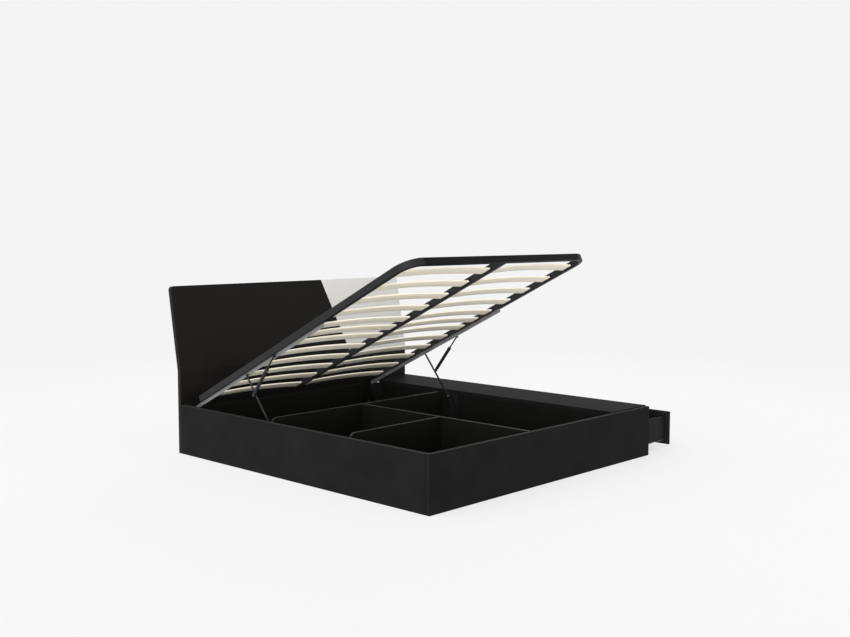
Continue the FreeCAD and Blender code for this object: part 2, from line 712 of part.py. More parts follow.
def slats_and_holders():
    """The slats of each bay, and a holder at each of their ends."""
    holders = []
    for name, start, end in bays():
        in_platform(f"slats_{name}", [slat_shape(start, end, place) for place in slat_places()])
        for place in slat_places():
            holders.append(holder_shape(start, 1, place))
            holders.append(holder_shape(end, -1, place))
    in_platform("slat_holders", holders)


def lift_angle(side):
    """The steel angle under a side rail, with its pivot pin and the gas spring's stud."""
    leg_near, leg_far = "dims.lift_bar_offset", "dims.lift_bar_offset + dims.lift_bar_thickness"
    along = (f"-{LIFT_BAR_END}", f"{LIFT_BAR_END} + dims.lift_bar_overhang")
    leg = bar(f"angle_leg_{side}", across(side, leg_near, leg_far), along,
              ("-dims.lift_bar_below_pins", "dims.lift_bar_below_pins + dims.pivot_drop"), PLATFORM)
    flange = bar(f"angle_flange_{side}", across(side, leg_near, f"{leg_near} + dims.lift_bar_flange"), along,
                 ("dims.pivot_drop - dims.lift_bar_thickness", "dims.lift_bar_thickness"), PLATFORM)
    pin = cross_pin(f"pivot_pin_{side}", side, "dims.roller_wall_gap", leg_far, "dims.pivot_pin_radius", "0",
                    frame=PLATFORM)
    eye_face = "dims.gas_offset + dims.gas_eye_thickness / 2 + dims.open_pivot_gap"
    stud = cross_pin(f"gas_stud_{side}", side, eye_face, leg_far, "dims.link_pin_radius",
                     f"-{GAS_STUD}", frame=PLATFORM)
    hole = cross_pin(f"stay_hole_{side}", side, leg_near, leg_far, PIVOT_HOLE_RADIUS,
                     f"-{LINK_PIVOT}", frame=PLATFORM)
    steel = joined(f"angle_steel_{side}", [leg, flange, pin, stud])
    node(cut(f"lift_angle_{side}", steel, [hole]))


# Lift hardware on the base


def slot_brackets():
    """Plates at the head end, with level slots for the platform's pivot sliders."""
    plates, sliders = [], []
    for side in SIDES:
        thickness = across(side, "0", "dims.slot_bracket_thickness")
        half_slot = "(dims.slider_length / 2 + dims.roller_clearance)"
        open_end = f"({HEAD} - dims.pivot_from_head - {half_slot})"
        slot = (open_end, f"(dims.pivot_travel + 2 * {half_slot})")
        slot_height = "(dims.slider_height + 2 * dims.running_gap)"
        plate_y = (f"{open_end} - dims.slot_bracket_margin", f"{slot[1]} + 2 * dims.slot_bracket_margin")
        top = "(dims.base_height + dims.slot_bracket_rise)"
        plate = bar(f"slot_plate_{side}", thickness, plate_y,
                    (f"{top} - dims.slot_bracket_height", "dims.slot_bracket_height"))
        window = bar(f"slot_window_{side}", thickness, slot,
                     (f"{PIVOT_HEIGHT} - {slot_height} / 2", slot_height))
        plates.append(cut(f"slot_bracket_{side}", plate, [window]))
        slider = bar(f"slider_block_{side}",
                     across(side, "dims.running_gap", "dims.slot_bracket_thickness - dims.running_gap"),
                     (f"{HEAD} - dims.pivot_from_head - dims.slider_length / 2", "dims.slider_length"),
                     (f"{PIVOT_HEIGHT} - dims.slider_height / 2", "dims.slider_height"))
        bore = cross_pin(f"slider_bore_{side}", side, "0", "dims.slot_bracket_thickness",
                         "dims.pivot_pin_radius + dims.running_clearance", "0", frame=PLATFORM)
        sliders.append(cut(f"pivot_slider_{side}", slider, [bore]))
    node(group("slot_brackets", plates))
    node(group("pivot_sliders", sliders))


def roller_path():
    """Where the stay's lower end runs, at closed, halfway and lifted, as Y and Z pairs."""
    foot = FreeCAD.Vector(0, -number(LINK_LENGTH), 0)
    points = [stay_frame(lifted).multVec(foot) for lifted in (0.0, 0.5, 1.0)]
    return [FreeCAD.Vector(point.y, point.z, 0) for point in points]


def draw_arc_slot(sketch, path, half_width):
    """A slot of even width along the arc through three points."""
    circle = Part.Arc(*path).toShape().Curve
    centre, radius = circle.Center, circle.Radius
    outer = [centre + (point - centre) * ((radius + half_width) / radius) for point in path]
    inner = [centre + (point - centre) * ((radius - half_width) / radius) for point in path]
    sketch.addGeometry(Part.Arc(*outer))
    sketch.addGeometry(Part.Arc(*inner))
    for end in (0, -1):
        spoke = (path[end] - centre).normalize()
        past = FreeCAD.Vector(-spoke.y, spoke.x, 0)
        if past.dot(path[end] - path[1]) < 0:
            past = -past
        sketch.addGeometry(Part.Arc(outer[end], path[end] + past * half_width, inner[end]))


def guide_plates():
    """Plates on both walls of the storage box, with the curved slots that the stays' rollers run in."""
    path = roller_path()
    margin = number("dims.guide_margin")
    low = (min(point.x for point in path) - margin, min(point.y for point in path) - margin)
    high = (max(point.x for point in path) + margin, max(point.y for point in path) + margin)
    plates = []
    for side in SIDES:
        body, sketch = body_sketch(f"guide_plate_{side}", "YZ_Plane")
        draw_polygon(sketch, (low, (high[0], low[1]), high, (low[0], high[1])))
        draw_arc_slot(sketch, path, number("dims.roller_radius + dims.roller_clearance"))
        pad(body, sketch, "dims.guide_thickness")
        body.Placement = placed(BED, across(side, "0", "dims.guide_thickness")[0], "0", "0")
        plates.append(body)
    node(group("guide_plates", plates))


# Stays and gas springs


def stay(side):
    """A flat link with its pivot pin, the gas spring's stud and the roller at its foot."""
    link_far = "(dims.link_offset + dims.link_thickness)"
    leg_far = "(dims.lift_bar_offset + dims.lift_bar_thickness)"
    flat = across(side, "dims.link_offset", link_far)
    strip = bar(f"stay_strip_{side}", flat, (f"-{LINK_LENGTH}", LINK_LENGTH),
                ("-dims.link_width / 2", "dims.link_width"), STAY)
    pieces = [strip]
    foot, arm = f"-{LINK_LENGTH}", f"-{GAS_ARM}"
    eye_near, eye_far = GAS_EYE
    roller_far = "(dims.roller_wall_gap + dims.roller_length)"
    head_near = f"({leg_far} + dims.running_gap)"
    head_far = f"({head_near} + dims.pin_head_thickness)"
    pin, collar = "dims.link_pin_radius", "dims.link_collar_radius"
    pins = (
        ("pivot_end", "dims.link_offset", link_far, "dims.link_width / 2", "0"),
        ("foot_end", "dims.link_offset", link_far, "dims.link_width / 2", foot),
        ("pivot", "dims.link_offset", head_far, pin, "0"),
        ("pivot_collar", link_far, "dims.lift_bar_offset - dims.running_gap", collar, "0"),
        ("pivot_head", head_near, head_far, collar, "0"),
        ("stud", eye_near, "dims.link_offset", pin, arm),
        ("stud_collar", f"{eye_far} + dims.running_gap", "dims.link_offset", collar, arm),
        ("roller", "dims.roller_wall_gap", roller_far, "dims.roller_radius", foot),
        ("roller_pin", "dims.roller_wall_gap", "dims.link_offset", pin, foot),
    )
    for name, near, far, radius, place in pins:
        pieces.append(cross_pin(f"stay_{name}_{side}", side, near, far, radius, place, frame=STAY))
    node(joined(f"stay_{side}", pieces))


def gas_axis_bar(label, side, radius, start, end):
    """A round bar on the gas spring's axis, between two distances from its lower end."""
    middle = across(side, "dims.gas_offset", "dims.gas_offset")[0]
    return round_bar(label, radius, f"(({end}) - ({start}))", middle, f"-({start})", "0", ALONG_FOOT, GAS)


def gas_cylinder(side):
    """The pressure tube with its lower eye, hollow for the piston and bored for the rod."""
    tube = gas_axis_bar(f"gas_tube_{side}", side, "dims.gas_radius", "dims.gas_start", GAS_TUBE_END)
    neck = gas_axis_bar(f"gas_neck_{side}", side, "dims.gas_neck_radius", "dims.gas_eye_radius / 2",
                        "dims.gas_start")
    ring = cross_pin(f"gas_eye_{side}", side, *GAS_EYE, "dims.gas_eye_radius", "0", frame=GAS)
    gland_start = f"{GAS_TUBE_END} - dims.gas_gland"
    cavity = gas_axis_bar(f"gas_cavity_{side}", side, "dims.gas_radius - dims.gas_wall",
                          "dims.gas_start + dims.gas_wall", gland_start)
    bore = gas_axis_bar(f"gas_bore_{side}", side, "dims.rod_radius + dims.running_clearance", gland_start,
                        GAS_TUBE_END)
    hole = cross_pin(f"gas_eye_hole_{side}", side, *GAS_EYE, PIVOT_HOLE_RADIUS, "0", frame=GAS)
    whole = joined(f"gas_whole_{side}", [tube, neck, ring])
    node(cut(f"gas_cylinder_{side}", whole, [cavity, bore, hole]))


def gas_rod(side):
    """The rod with its piston and its upper eye beside the platform's stud."""
    top = f"-{GAS_LENGTH}"
    piston_end = f"({GAS_TUBE_END} - dims.gas_gland - dims.piston_stop_gap)"
    piston = gas_axis_bar(f"piston_{side}", side, "dims.gas_radius - dims.gas_wall - dims.piston_gap",
                          f"{piston_end} - dims.piston_length", piston_end)
    stem = gas_axis_bar(f"rod_stem_{side}", side, "dims.rod_radius", piston_end,
                        f"{GAS_LENGTH} - dims.rod_eye_radius / 2 - dims.link_pin_radius / 2")
    ring = cross_pin(f"rod_eye_{side}", side, *GAS_EYE, "dims.rod_eye_radius", top, frame=GAS)
    hole = cross_pin(f"rod_hole_{side}", side, *GAS_EYE, PIVOT_HOLE_RADIUS, top, frame=GAS)
    node(cut(f"gas_rod_{side}", joined(f"rod_whole_{side}", [piston, stem, ring]), [hole]))


# Drawers


def drawer_pull(name):
    """How far a drawer is drawn out."""
    return f"({DRAWER_PULL_SHARES[name]} * {RUNNER_LENGTH})"


def drawer_box(name, index):
    """A drawer's front, sides, back and bottom, drawn out by its pull."""
    pull = drawer_pull(name)
    front_face = f"({BAY_RIGHT} + {pull})"
    back_face = f"({front_face} - {DRAWER_DEPTH})"
    front_y = f"{INSIDE_FOOT} + dims.front_gap + {index} * ({FRONT_LENGTH} + dims.front_gap)"
    node(board(f"drawer_{name}_front", (front_face, "dims.front_thickness"), (front_y, FRONT_LENGTH),
               ("dims.front_bottom", FRONT_HEIGHT)))
    box_start = f"({bay_start(index)} + dims.drawer_side_gap)"
    box_length = f"({BAY_CLEAR} - 2 * dims.drawer_side_gap)"
    inner_start, inner_length = f"({box_start} + dims.drawer_wall)", f"({box_length} - 2 * dims.drawer_wall)"
    height = ("dims.drawer_bottom", DRAWER_HEIGHT)
    depth = (back_face, DRAWER_DEPTH)
    sides = []
    for start in (box_start, f"({inner_start} + {inner_length})"):
        sides.append(board(f"drawer_{name}_side", depth, (start, "dims.drawer_wall"), height))
    node(group(f"drawer_{name}_sides", sides))
    inside = (inner_start, inner_length)
    node(board(f"drawer_{name}_back", (back_face, "dims.drawer_wall"), inside, height))
    floor_depth = (f"{back_face} + dims.drawer_wall", f"{DRAWER_DEPTH} - dims.drawer_wall")
    floor_height = ("dims.drawer_bottom + dims.drawer_floor_lift", "dims.drawer_floor")
    node(board(f"drawer_{name}_bottom", floor_depth, inside, floor_height))


def runner_strips(label, index, level, shift):
    """One member of both runners of a drawer, counted up from the fixed one and shifted outwards."""
    height = f"{FIXED_RUNNER_BOTTOM} + {level} * (dims.runner_thickness + dims.running_gap)"
    x = f"{BAY_RIGHT} - dims.runner_front_gap - {RUNNER_LENGTH} + {shift}"
    inset = "(dims.drawer_side_gap + dims.runner_inset)"
    first = f"{bay_start(index)} + {inset}"
    second = f"{bay_start(index)} + {BAY_CLEAR} - {inset} - dims.runner_width"
    upright = (height, "dims.runner_thickness")
    strips = []
    for y in (first, second):
        strips.append(bar(label, (x, RUNNER_LENGTH), (y, "dims.runner_width"), upright))
    return strips


def drawers():
    """All drawers with their telescopic runners, and the bearers that carry them."""
    fixed, bearers = [], []
    depth = (BAY_LEFT, BAY_DEPTH)
    height = ("dims.front_bottom", f"{FIXED_RUNNER_BOTTOM} - dims.front_bottom")
    for index, name in enumerate(DRAWERS):
        pull = drawer_pull(name)
        half_pull = f"{MID_RUNNER_SHARE} * {pull}"
        drawer_box(name, index)
        node(group(f"drawer_{name}_runners", runner_strips("moving_member", index, 2, pull)))
        node(group(f"drawer_{name}_mid_runners", runner_strips("middle_member", index, 1, half_pull)))
        fixed += runner_strips("fixed_member", index, 0, "0")
        for y in (bay_start(index), f"{bay_start(index)} + {BAY_CLEAR} - dims.bearer_width"):
            bearers.append(bar("runner_bearer", depth, (y, "dims.bearer_width"), height))
    node(group("fixed_runners", fixed))
    node(group("runner_bearers", bearers))


def write_parts():
    """Checks every object, then writes each node's file."""
    doc.recompute()
    for item in doc.Objects:
        if "Invalid" in item.State or "Error" in item.State:
            raise RuntimeError(f"{item.Label} failed: {item.State}")
    for piece in nodes:
        if piece.Shape.isNull() or not piece.Shape.isValid():
            raise RuntimeError(f"{piece.Label} has no valid shape")
    os.makedirs("parts", exist_ok=True)
    for piece in nodes:
        piece.Shape.exportStep(f"parts/{piece.Label}.step")
        print(piece.Label, len(piece.Shape.Solids), round(piece.Shape.Volume))


base_panels()
ledge_and_bays()
dividers()
storage_floor()
corner_blocks()
headboard_lower()
headboard_upper()
headboard_battens()
platform_rails()
slats_and_holders()
slot_brackets()
guide_plates()
for side_name in SIDES:
    lift_angle(side_name)
    stay(side_name)
    gas_cylinder(side_name)
    gas_rod(side_name)
drawers()
write_parts()
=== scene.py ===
"""Looks of the lift-up storage bed: finishes for its nodes, finer small parts, and a studio."""

import logging
import math
from dataclasses import KW_ONLY, dataclass
from enum import Enum
from typing import Any, Iterable

import bmesh
import bpy
from mathutils import Matrix, Vector


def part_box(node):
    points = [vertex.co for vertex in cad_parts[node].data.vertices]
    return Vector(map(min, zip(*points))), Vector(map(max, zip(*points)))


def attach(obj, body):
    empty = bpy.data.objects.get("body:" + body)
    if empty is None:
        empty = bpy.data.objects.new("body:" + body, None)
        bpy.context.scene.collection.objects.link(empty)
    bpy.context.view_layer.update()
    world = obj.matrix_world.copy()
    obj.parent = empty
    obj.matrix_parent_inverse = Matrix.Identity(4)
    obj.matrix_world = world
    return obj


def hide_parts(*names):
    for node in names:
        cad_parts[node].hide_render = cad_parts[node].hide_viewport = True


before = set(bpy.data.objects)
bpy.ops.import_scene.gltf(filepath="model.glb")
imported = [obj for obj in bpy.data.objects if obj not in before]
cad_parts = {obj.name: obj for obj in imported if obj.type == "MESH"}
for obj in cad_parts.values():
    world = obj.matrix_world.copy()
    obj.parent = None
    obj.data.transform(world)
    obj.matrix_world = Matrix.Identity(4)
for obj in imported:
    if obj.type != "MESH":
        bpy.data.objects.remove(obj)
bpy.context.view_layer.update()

MM = 0.001
LIFT_ANGLE = math.radians(26)
PIVOT = Vector((0, 961.6, 291)) * MM
# Edges that bend more than this stay sharp on new pieces
SHARP_ANGLE = math.radians(38)
# The part of a noise that is spread over a whole range of tones
NOISE_SPREAD = {"From Min": 0.3, "From Max": 0.7}
# How far up a face looks where the edge band's paler tone, painted on the upward faces as a highlight, starts
# to show, and where it covers all
BAND_HIGHLIGHT_SPREAD = {"From Min": 0.2, "From Max": 0.6}

log = logging.getLogger("storage_bed")


class Slot(Enum):
    """The record's material slots."""

    SLAT_WOOD = "slat_wood"
    HOLDER_PLASTIC = "holder_plastic"
    ZINC_STEEL = "zinc_steel"
    RUNNER_STEEL = "runner_steel"
    DARK_STEEL = "dark_steel"


class Surface(Enum):
    """The finishes that are seen on the bed."""

    OUTER_BOARD = "outer_board"
    OUTER_BANDED = "outer_banded"
    INNER_BOARD = "inner_board"
    INNER_BANDED = "inner_banded"
    DRAWER_BOARD = "drawer_board"
    DARK_LACQUER = "dark_lacquer"
    PALE_LACQUER = "pale_lacquer"
    RAIL_ALONG = "rail_along"
    RAIL_ACROSS = "rail_across"
    SLAT_BEECH = "slat_beech"
    HOLDER_MOULDING = "holder_moulding"
    SLIDER_NYLON = "slider_nylon"
    PAD_RUBBER = "pad_rubber"
    ZINC_STEEL = "zinc_steel"
    RUNNER_STEEL = "runner_steel"
    COATED_STEEL = "coated_steel"
    NITRIDED_ROD = "nitrided_rod"


class Grain(Enum):
    """The way that a wood's grain runs on the bed."""

    ALONG_BED = (1, 0)
    ACROSS_BED = (0, 1)


class Recess(Enum):
    """The driver recess of a screw or bolt head."""

    CROSS = "cross"
    HEXAGON = "hexagon"


class Side(Enum):
    """A wall of the storage box: its face along X, and the way into the box."""

    LEFT = ("left", -945 * MM, 1)
    RIGHT = ("right", 615 * MM, -1)

    @property
    def label(self) -> str:
        """The side's name in node and body names."""
        return self.value[0]

    @property
    def inward(self) -> Vector:
        """The direction from the wall into the box."""
        return Vector((self.value[2], 0, 0))

    def off_wall(self, distance: float) -> float:
        """The X of what lies at a distance from the wall."""
        return self.value[1] + self.value[2] * distance


# Nodes and colours


def linear(colour: str) -> tuple[float, float, float, float]:
    """Turns an sRGB hex colour to linear.

    Args:
        colour: Six hex digits after a hash.

    Returns:
        Linear red, green, blue and an alpha of one.
    """
    shares = [int(colour[start:start + 2], 16) / 255 for start in (1, 3, 5)]
    red, green, blue = (s / 12.92 if s <= 0.04045 else ((s + 0.055) / 1.055) ** 2.4 for s in shares)
    return red, green, blue, 1.0


def per_metre(size_mm: float) -> float:
    """The texture scale whose features are about that many millimetres."""
    return 1 / (size_mm * MM)


def add_node(tree: bpy.types.NodeTree, kind: str, inputs: dict | None = None,
             **settings: Any) -> bpy.types.Node:
    """Adds a node with its settings, values and links.

    Args:
        tree: The tree that gets the node.
        kind: Blender's name of the node type.
        inputs: Sockets by name or number, each with a value or the socket that is linked to it.
        settings: The node's own properties.

    Returns:
        The new node.
    """
    node = tree.nodes.new(kind)
    for name, value in settings.items():
        setattr(node, name, value)
    for key, value in (inputs or {}).items():
        if isinstance(value, bpy.types.NodeSocket):
            tree.links.new(value, node.inputs[key])
        else:
            node.inputs[key].default_value = value
    return node


def empty_tree(owner: bpy.types.Material | bpy.types.World) -> bpy.types.NodeTree:
    """Gives a material or the sky a node tree with nothing in it."""
    owner.use_nodes = True
    owner.node_tree.nodes.clear()
    return owner.node_tree


# Finishes


@dataclass(frozen=True)
class Pattern:
    """What a finish draws on its surface.

    Two sockets share out the finish's second tone and second roughness. A third one may raise relief,
    and marks are further tones that lie over the others, each with the socket that shares it out.
    """

    tone: bpy.types.NodeSocket
    dull: bpy.types.NodeSocket
    relief: bpy.types.NodeSocket | None = None
    marks: tuple[tuple[bpy.types.NodeSocket, str], ...] = ()


@dataclass(frozen=True)
class Finish:
    """A surface, named for its real material and how it was made.

    Its pattern goes between two tones and two values of roughness. A board may have an edge band,
    whose paler tone is painted only on the faces that look up, as a painted highlight of the lit rims.
    """

    name: str
    first: str
    second: str
    _: KW_ONLY
    band: str = ""
    roughness: tuple[float, float] = (0.4, 0.6)
    specular: float = 0.5
    metallic: float = 0.0
    relief_depth: float = 0.05 * MM
    relief_strength: float = 0.5

    def pattern(self, tree: bpy.types.NodeTree, place: bpy.types.NodeSocket) -> Pattern:
        """Draws the finish's pattern.

        Args:
            tree: The material's tree.
            place: The place on the piece.

        Returns:
            The pattern's sockets.
        """
        raise NotImplementedError

    def material(self) -> bpy.types.Material:
        """Lays the tones over each other, and sets roughness and relief by the pattern.

        Returns:
            The material, ready for a mesh.
        """
        material = bpy.data.materials.new(self.name)
        tree = empty_tree(material)
        where = add_node(tree, "ShaderNodeTexCoord")
        pattern = self.pattern(tree, where.outputs["Object"])
        layers = [(pattern.tone, self.second), *pattern.marks]
        # Painted highlight: the band's paler tone goes only on faces that look up, where the light falls on
        # the rims
        if self.band:
            normal = add_node(tree, "ShaderNodeSeparateXYZ", {"Vector": where.outputs["Normal"]})
            up = add_node(tree, "ShaderNodeMapRange", {"Value": normal.outputs["Z"], **BAND_HIGHLIGHT_SPREAD})
            layers.append((up.outputs["Result"], self.band))
        colour = linear(self.first)
        for share, tone in layers:
            mix = add_node(tree, "ShaderNodeMix", {0: share, 6: colour, 7: linear(tone)}, data_type="RGBA")
            colour = mix.outputs[2]
        rough = add_node(tree, "ShaderNodeMapRange",
                         {"Value": pattern.dull, "To Min": self.roughness[0], "To Max": self.roughness[1]})
        sockets = {"Base Color": colour, "Roughness": rough.outputs["Result"], "Metallic": self.metallic,
                   "Specular IOR Level": self.specular}
        if pattern.relief is not None:
            bump = add_node(tree, "ShaderNodeBump",
                            {"Height": pattern.relief, "Strength": self.relief_strength,
                             "Distance": self.relief_depth})
            sockets["Normal"] = bump.outputs["Normal"]
        shader = add_node(tree, "ShaderNodeBsdfPrincipled", sockets)
        add_node(tree, "ShaderNodeOutputMaterial", {"Surface": shader.outputs["BSDF"]})
        return material


@dataclass(frozen=True, kw_only=True)
class PressedBoard(Finish):
    """Faced board, pressed against a textured plate: an even matt tone, broken by a fine pearl grain."""

    grain_mm: float = 3.0
    cloud_mm: float = 170.0
    roughness: tuple[float, float] = (0.5, 0.66)
    specular: float = 0.02
    relief_strength: float = 0.6

    def pattern(self, tree: bpy.types.NodeTree, place: bpy.types.NodeSocket) -> Pattern:
        """Clouds the tone softly and raises the pressed grain, drawn coarser than it is so that it shows.

        Args:
            tree: The material's tree.
            place: The place on the piece.

        Returns:
            The clouds, the grain's gloss and its relief.
        """
        cloud = add_node(tree, "ShaderNodeTexNoise",
                         {"Vector": place, "Scale": per_metre(self.cloud_mm), "Detail": 3.0})
        grain = add_node(tree, "ShaderNodeTexNoise",
                         {"Vector": place, "Scale": per_metre(self.grain_mm), "Detail": 2.0})
        drift = add_node(tree, "ShaderNodeMapRange", {"Value": cloud.outputs["Fac"], **NOISE_SPREAD})
        pearl = add_node(tree, "ShaderNodeMapRange", {"Value": grain.outputs["Fac"], **NOISE_SPREAD})
        return Pattern(drift.outputs["Result"], pearl.outputs["Result"], grain.outputs["Fac"])


@dataclass(frozen=True, kw_only=True)
class SprayedLacquer(Finish):
    """Satin lacquer sprayed on fibreboard: smooth, with the faint long ripple of a sprayed coat."""

    ripple_mm: float = 9.0
    cloud_mm: float = 320.0
    roughness: tuple[float, float] = (0.34, 0.46)
    relief_depth: float = 0.04 * MM

    def pattern(self, tree: bpy.types.NodeTree, place: bpy.types.NodeSocket) -> Pattern:
        """Ripples the coat and lets its gloss and tone drift over the panel.

        Args:
            tree: The material's tree.
            place: The place on the piece.

        Returns:
            The drift of tone and gloss, and the ripple's relief.
        """
        cloud = add_node(tree, "ShaderNodeTexNoise",
                         {"Vector": place, "Scale": per_metre(self.cloud_mm), "Detail": 4.0})
        ripple = add_node(tree, "ShaderNodeTexNoise",
                          {"Vector": place, "Scale": per_metre(self.ripple_mm), "Detail": 1.0})
        drift = add_node(tree, "ShaderNodeMapRange", {"Value": cloud.outputs["Fac"], **NOISE_SPREAD})
        return Pattern(cloud.outputs["Fac"], drift.outputs["Result"], ripple.outputs["Fac"])


@dataclass(frozen=True, kw_only=True)
class EmbossedFoil(Finish):
    """Board wrapped in embossed foil: crossing ribs like linen, which break up the sheen."""

    thread_mm: float = 3.2
    cloud_mm: float = 90.0
    roughness: tuple[float, float] = (0.62, 0.5)
    specular: float = 0.08
    relief_depth: float = 0.06 * MM

    def pattern(self, tree: bpy.types.NodeTree, place: bpy.types.NodeSocket) -> Pattern:
        """Crosses ribs, drawn coarser than the real thread so that they show.

        Args:
            tree: The material's tree.
            place: The place on the piece.

        Returns:
            The mottled ribs, and the ribs' gloss and relief.
        """
        thread_scale = per_metre(self.thread_mm) / math.tau
        ribs = {}
        for direction in ("X", "Y", "Z"):
            rib = add_node(tree, "ShaderNodeTexWave",
                           {"Vector": place, "Scale": thread_scale, "Distortion": 1.2, "Detail": 1.0},
                           bands_direction=direction)
            ribs[direction] = rib.outputs["Fac"]
        weave = add_node(tree, "ShaderNodeMath", {0: ribs["X"], 1: ribs["Z"]}, operation="MULTIPLY")
        linen = add_node(tree, "ShaderNodeMath", {0: weave.outputs["Value"], 1: ribs["Y"]},
                         operation="MAXIMUM")
        cloud = add_node(tree, "ShaderNodeTexNoise",
                         {"Vector": place, "Scale": per_metre(self.cloud_mm), "Detail": 3.0})
        mottle = add_node(tree, "ShaderNodeMath", {0: linen.outputs["Value"], 1: cloud.outputs["Fac"]},
                          operation="MULTIPLY")
        return Pattern(mottle.outputs["Value"], linen.outputs["Value"], linen.outputs["Value"])


@dataclass(frozen=True, kw_only=True)
class LacqueredLaminate(Finish):
    """Bent beech laminate under black lacquer: a soft sheen that the wood's long grain still ripples."""

    grain: Grain
    grain_length_mm: float = 190.0
    grain_width_mm: float = 3.5
    roughness: tuple[float, float] = (0.5, 0.36)
    specular: float = 0.1
    relief_depth: float = 0.09 * MM

    def pattern(self, tree: bpy.types.NodeTree, place: bpy.types.NodeSocket) -> Pattern:
        """Runs long grain lines along the rail, in the lifted platform's own directions.

        Args:
            tree: The material's tree.
            place: The place on the piece.

        Returns:
            The grain's tone, gloss and relief.
        """
        level = add_node(tree, "ShaderNodeMapping", {"Vector": place, "Rotation": (LIFT_ANGLE, 0, 0)})
        fine, long = per_metre(self.grain_width_mm), per_metre(self.grain_length_mm)
        along, across = self.grain.value
        stretch = (fine * along + long * across, long * along + fine * across, fine)
        drawn = add_node(tree, "ShaderNodeMapping", {"Vector": level.outputs["Vector"], "Scale": stretch})
        lines = add_node(tree, "ShaderNodeTexNoise",
                         {"Vector": drawn.outputs["Vector"], "Scale": 1.0, "Detail": 3.0, "Roughness": 0.6})
        spread = add_node(tree, "ShaderNodeMapRange", {"Value": lines.outputs["Fac"], **NOISE_SPREAD})
        return Pattern(spread.outputs["Result"], spread.outputs["Result"], lines.outputs["Fac"])


@dataclass(frozen=True, kw_only=True)
class SandedBeech(Finish):
    """Sanded beech veneers glued in a bow: creamy, with fine streaks and short flecks.

    The edges show the glue lines between the veneers.
    """

    fleck: str
    glue: str
    streak_length_mm: float = 320.0
    streak_width_mm: float = 6.0
    fleck_length_mm: float = 13.0
    fleck_width_mm: float = 2.2
    veneer_mm: float = 1.8
    roughness: tuple[float, float] = (0.5, 0.64)
    specular: float = 0.35
    relief_depth: float = 0.08 * MM
    relief_strength: float = 0.45

    def pattern(self, tree: bpy.types.NodeTree, place: bpy.types.NodeSocket) -> Pattern:
        """Streaks each slat along its length, tones it and draws its veneers on the edges.

        Args:
            tree: The material's tree.
            place: The place on the piece.

        Returns:
            The streaks, with each slat's own tone, the flecks and the glue lines over them.
        """
        level = add_node(tree, "ShaderNodeMapping", {"Vector": place, "Rotation": (LIFT_ANGLE, 0, 0)})
        streak_scale = (per_metre(self.streak_length_mm),) + (per_metre(self.streak_width_mm),) * 2
        fleck_scale = (per_metre(self.fleck_length_mm),) + (per_metre(self.fleck_width_mm),) * 2
        drawn = add_node(tree, "ShaderNodeMapping",
                         {"Vector": level.outputs["Vector"], "Scale": streak_scale})
        dashed = add_node(tree, "ShaderNodeMapping",
                          {"Vector": level.outputs["Vector"], "Scale": fleck_scale})
        streaks = add_node(tree, "ShaderNodeTexNoise",
                           {"Vector": drawn.outputs["Vector"], "Scale": 1.0, "Detail": 4.0,
                            "Roughness": 0.62})
        dashes = add_node(tree, "ShaderNodeTexNoise",
                          {"Vector": dashed.outputs["Vector"], "Scale": 1.0, "Detail": 1.0})
        spread = add_node(tree, "ShaderNodeMapRange",
                          {"Value": streaks.outputs["Fac"], "From Min": 0.32, "From Max": 0.7})
        slat_tone = add_node(tree, "ShaderNodeAttribute", attribute_name="slat_tone")
        thin = add_node(tree, "ShaderNodeMapRange",
                        {"Value": dashes.outputs["Fac"], "From Min": 0.6, "From Max": 0.72, "To Max": 0.45})
        height = add_node(tree, "ShaderNodeAttribute", attribute_name="ply_height")
        turns = add_node(tree, "ShaderNodeMath",
                         {0: height.outputs["Fac"], 1: math.tau * per_metre(self.veneer_mm)},
                         operation="MULTIPLY")
        wave = add_node(tree, "ShaderNodeMath", {0: turns.outputs["Value"]}, operation="SINE")
        seam = add_node(tree, "ShaderNodeMapRange",
                        {"Value": wave.outputs["Value"], "From Min": 0.55, "From Max": 1.0, "To Max": 0.6})
        marks = ((slat_tone.outputs["Fac"], self.second), (thin.outputs["Result"], self.fleck),
                 (seam.outputs["Result"], self.glue))
        return Pattern(spread.outputs["Result"], spread.outputs["Result"], streaks.outputs["Fac"], marks)


@dataclass(frozen=True, kw_only=True)
class PlatedSteel(Finish):
    """Zinc-plated steel strip: a grey metal with blotchy crystals and faint rolling streaks."""

    crystal_mm: float = 7.0
    streak_length_mm: float = 120.0
    streak_width_mm: float = 1.6
    roughness: tuple[float, float] = (0.3, 0.48)
    metallic: float = 1.0
    relief_depth: float = 0.03 * MM
    relief_strength: float = 0.3

    def pattern(self, tree: bpy.types.NodeTree, place: bpy.types.NodeSocket) -> Pattern:
        """Sets crystals against each other in tone, and streaks the gloss along the strip.

        Args:
            tree: The material's tree.
            place: The place on the piece.

        Returns:
            The crystals, and the streaks' gloss and relief.
        """
        crystals = add_node(tree, "ShaderNodeTexVoronoi",
                            {"Vector": place, "Scale": per_metre(self.crystal_mm)})
        grey = add_node(tree, "ShaderNodeSeparateColor", {"Color": crystals.outputs["Color"]})
        fine, long = per_metre(self.streak_width_mm), per_metre(self.streak_length_mm)
        drawn = add_node(tree, "ShaderNodeMapping", {"Vector": place, "Scale": (fine, long, fine)})
        streaks = add_node(tree, "ShaderNodeTexNoise",
                           {"Vector": drawn.outputs["Vector"], "Scale": 1.0, "Detail": 2.0})
        spread = add_node(tree, "ShaderNodeMapRange", {"Value": streaks.outputs["Fac"], **NOISE_SPREAD})
        return Pattern(grey.outputs["Red"], spread.outputs["Result"], streaks.outputs["Fac"])


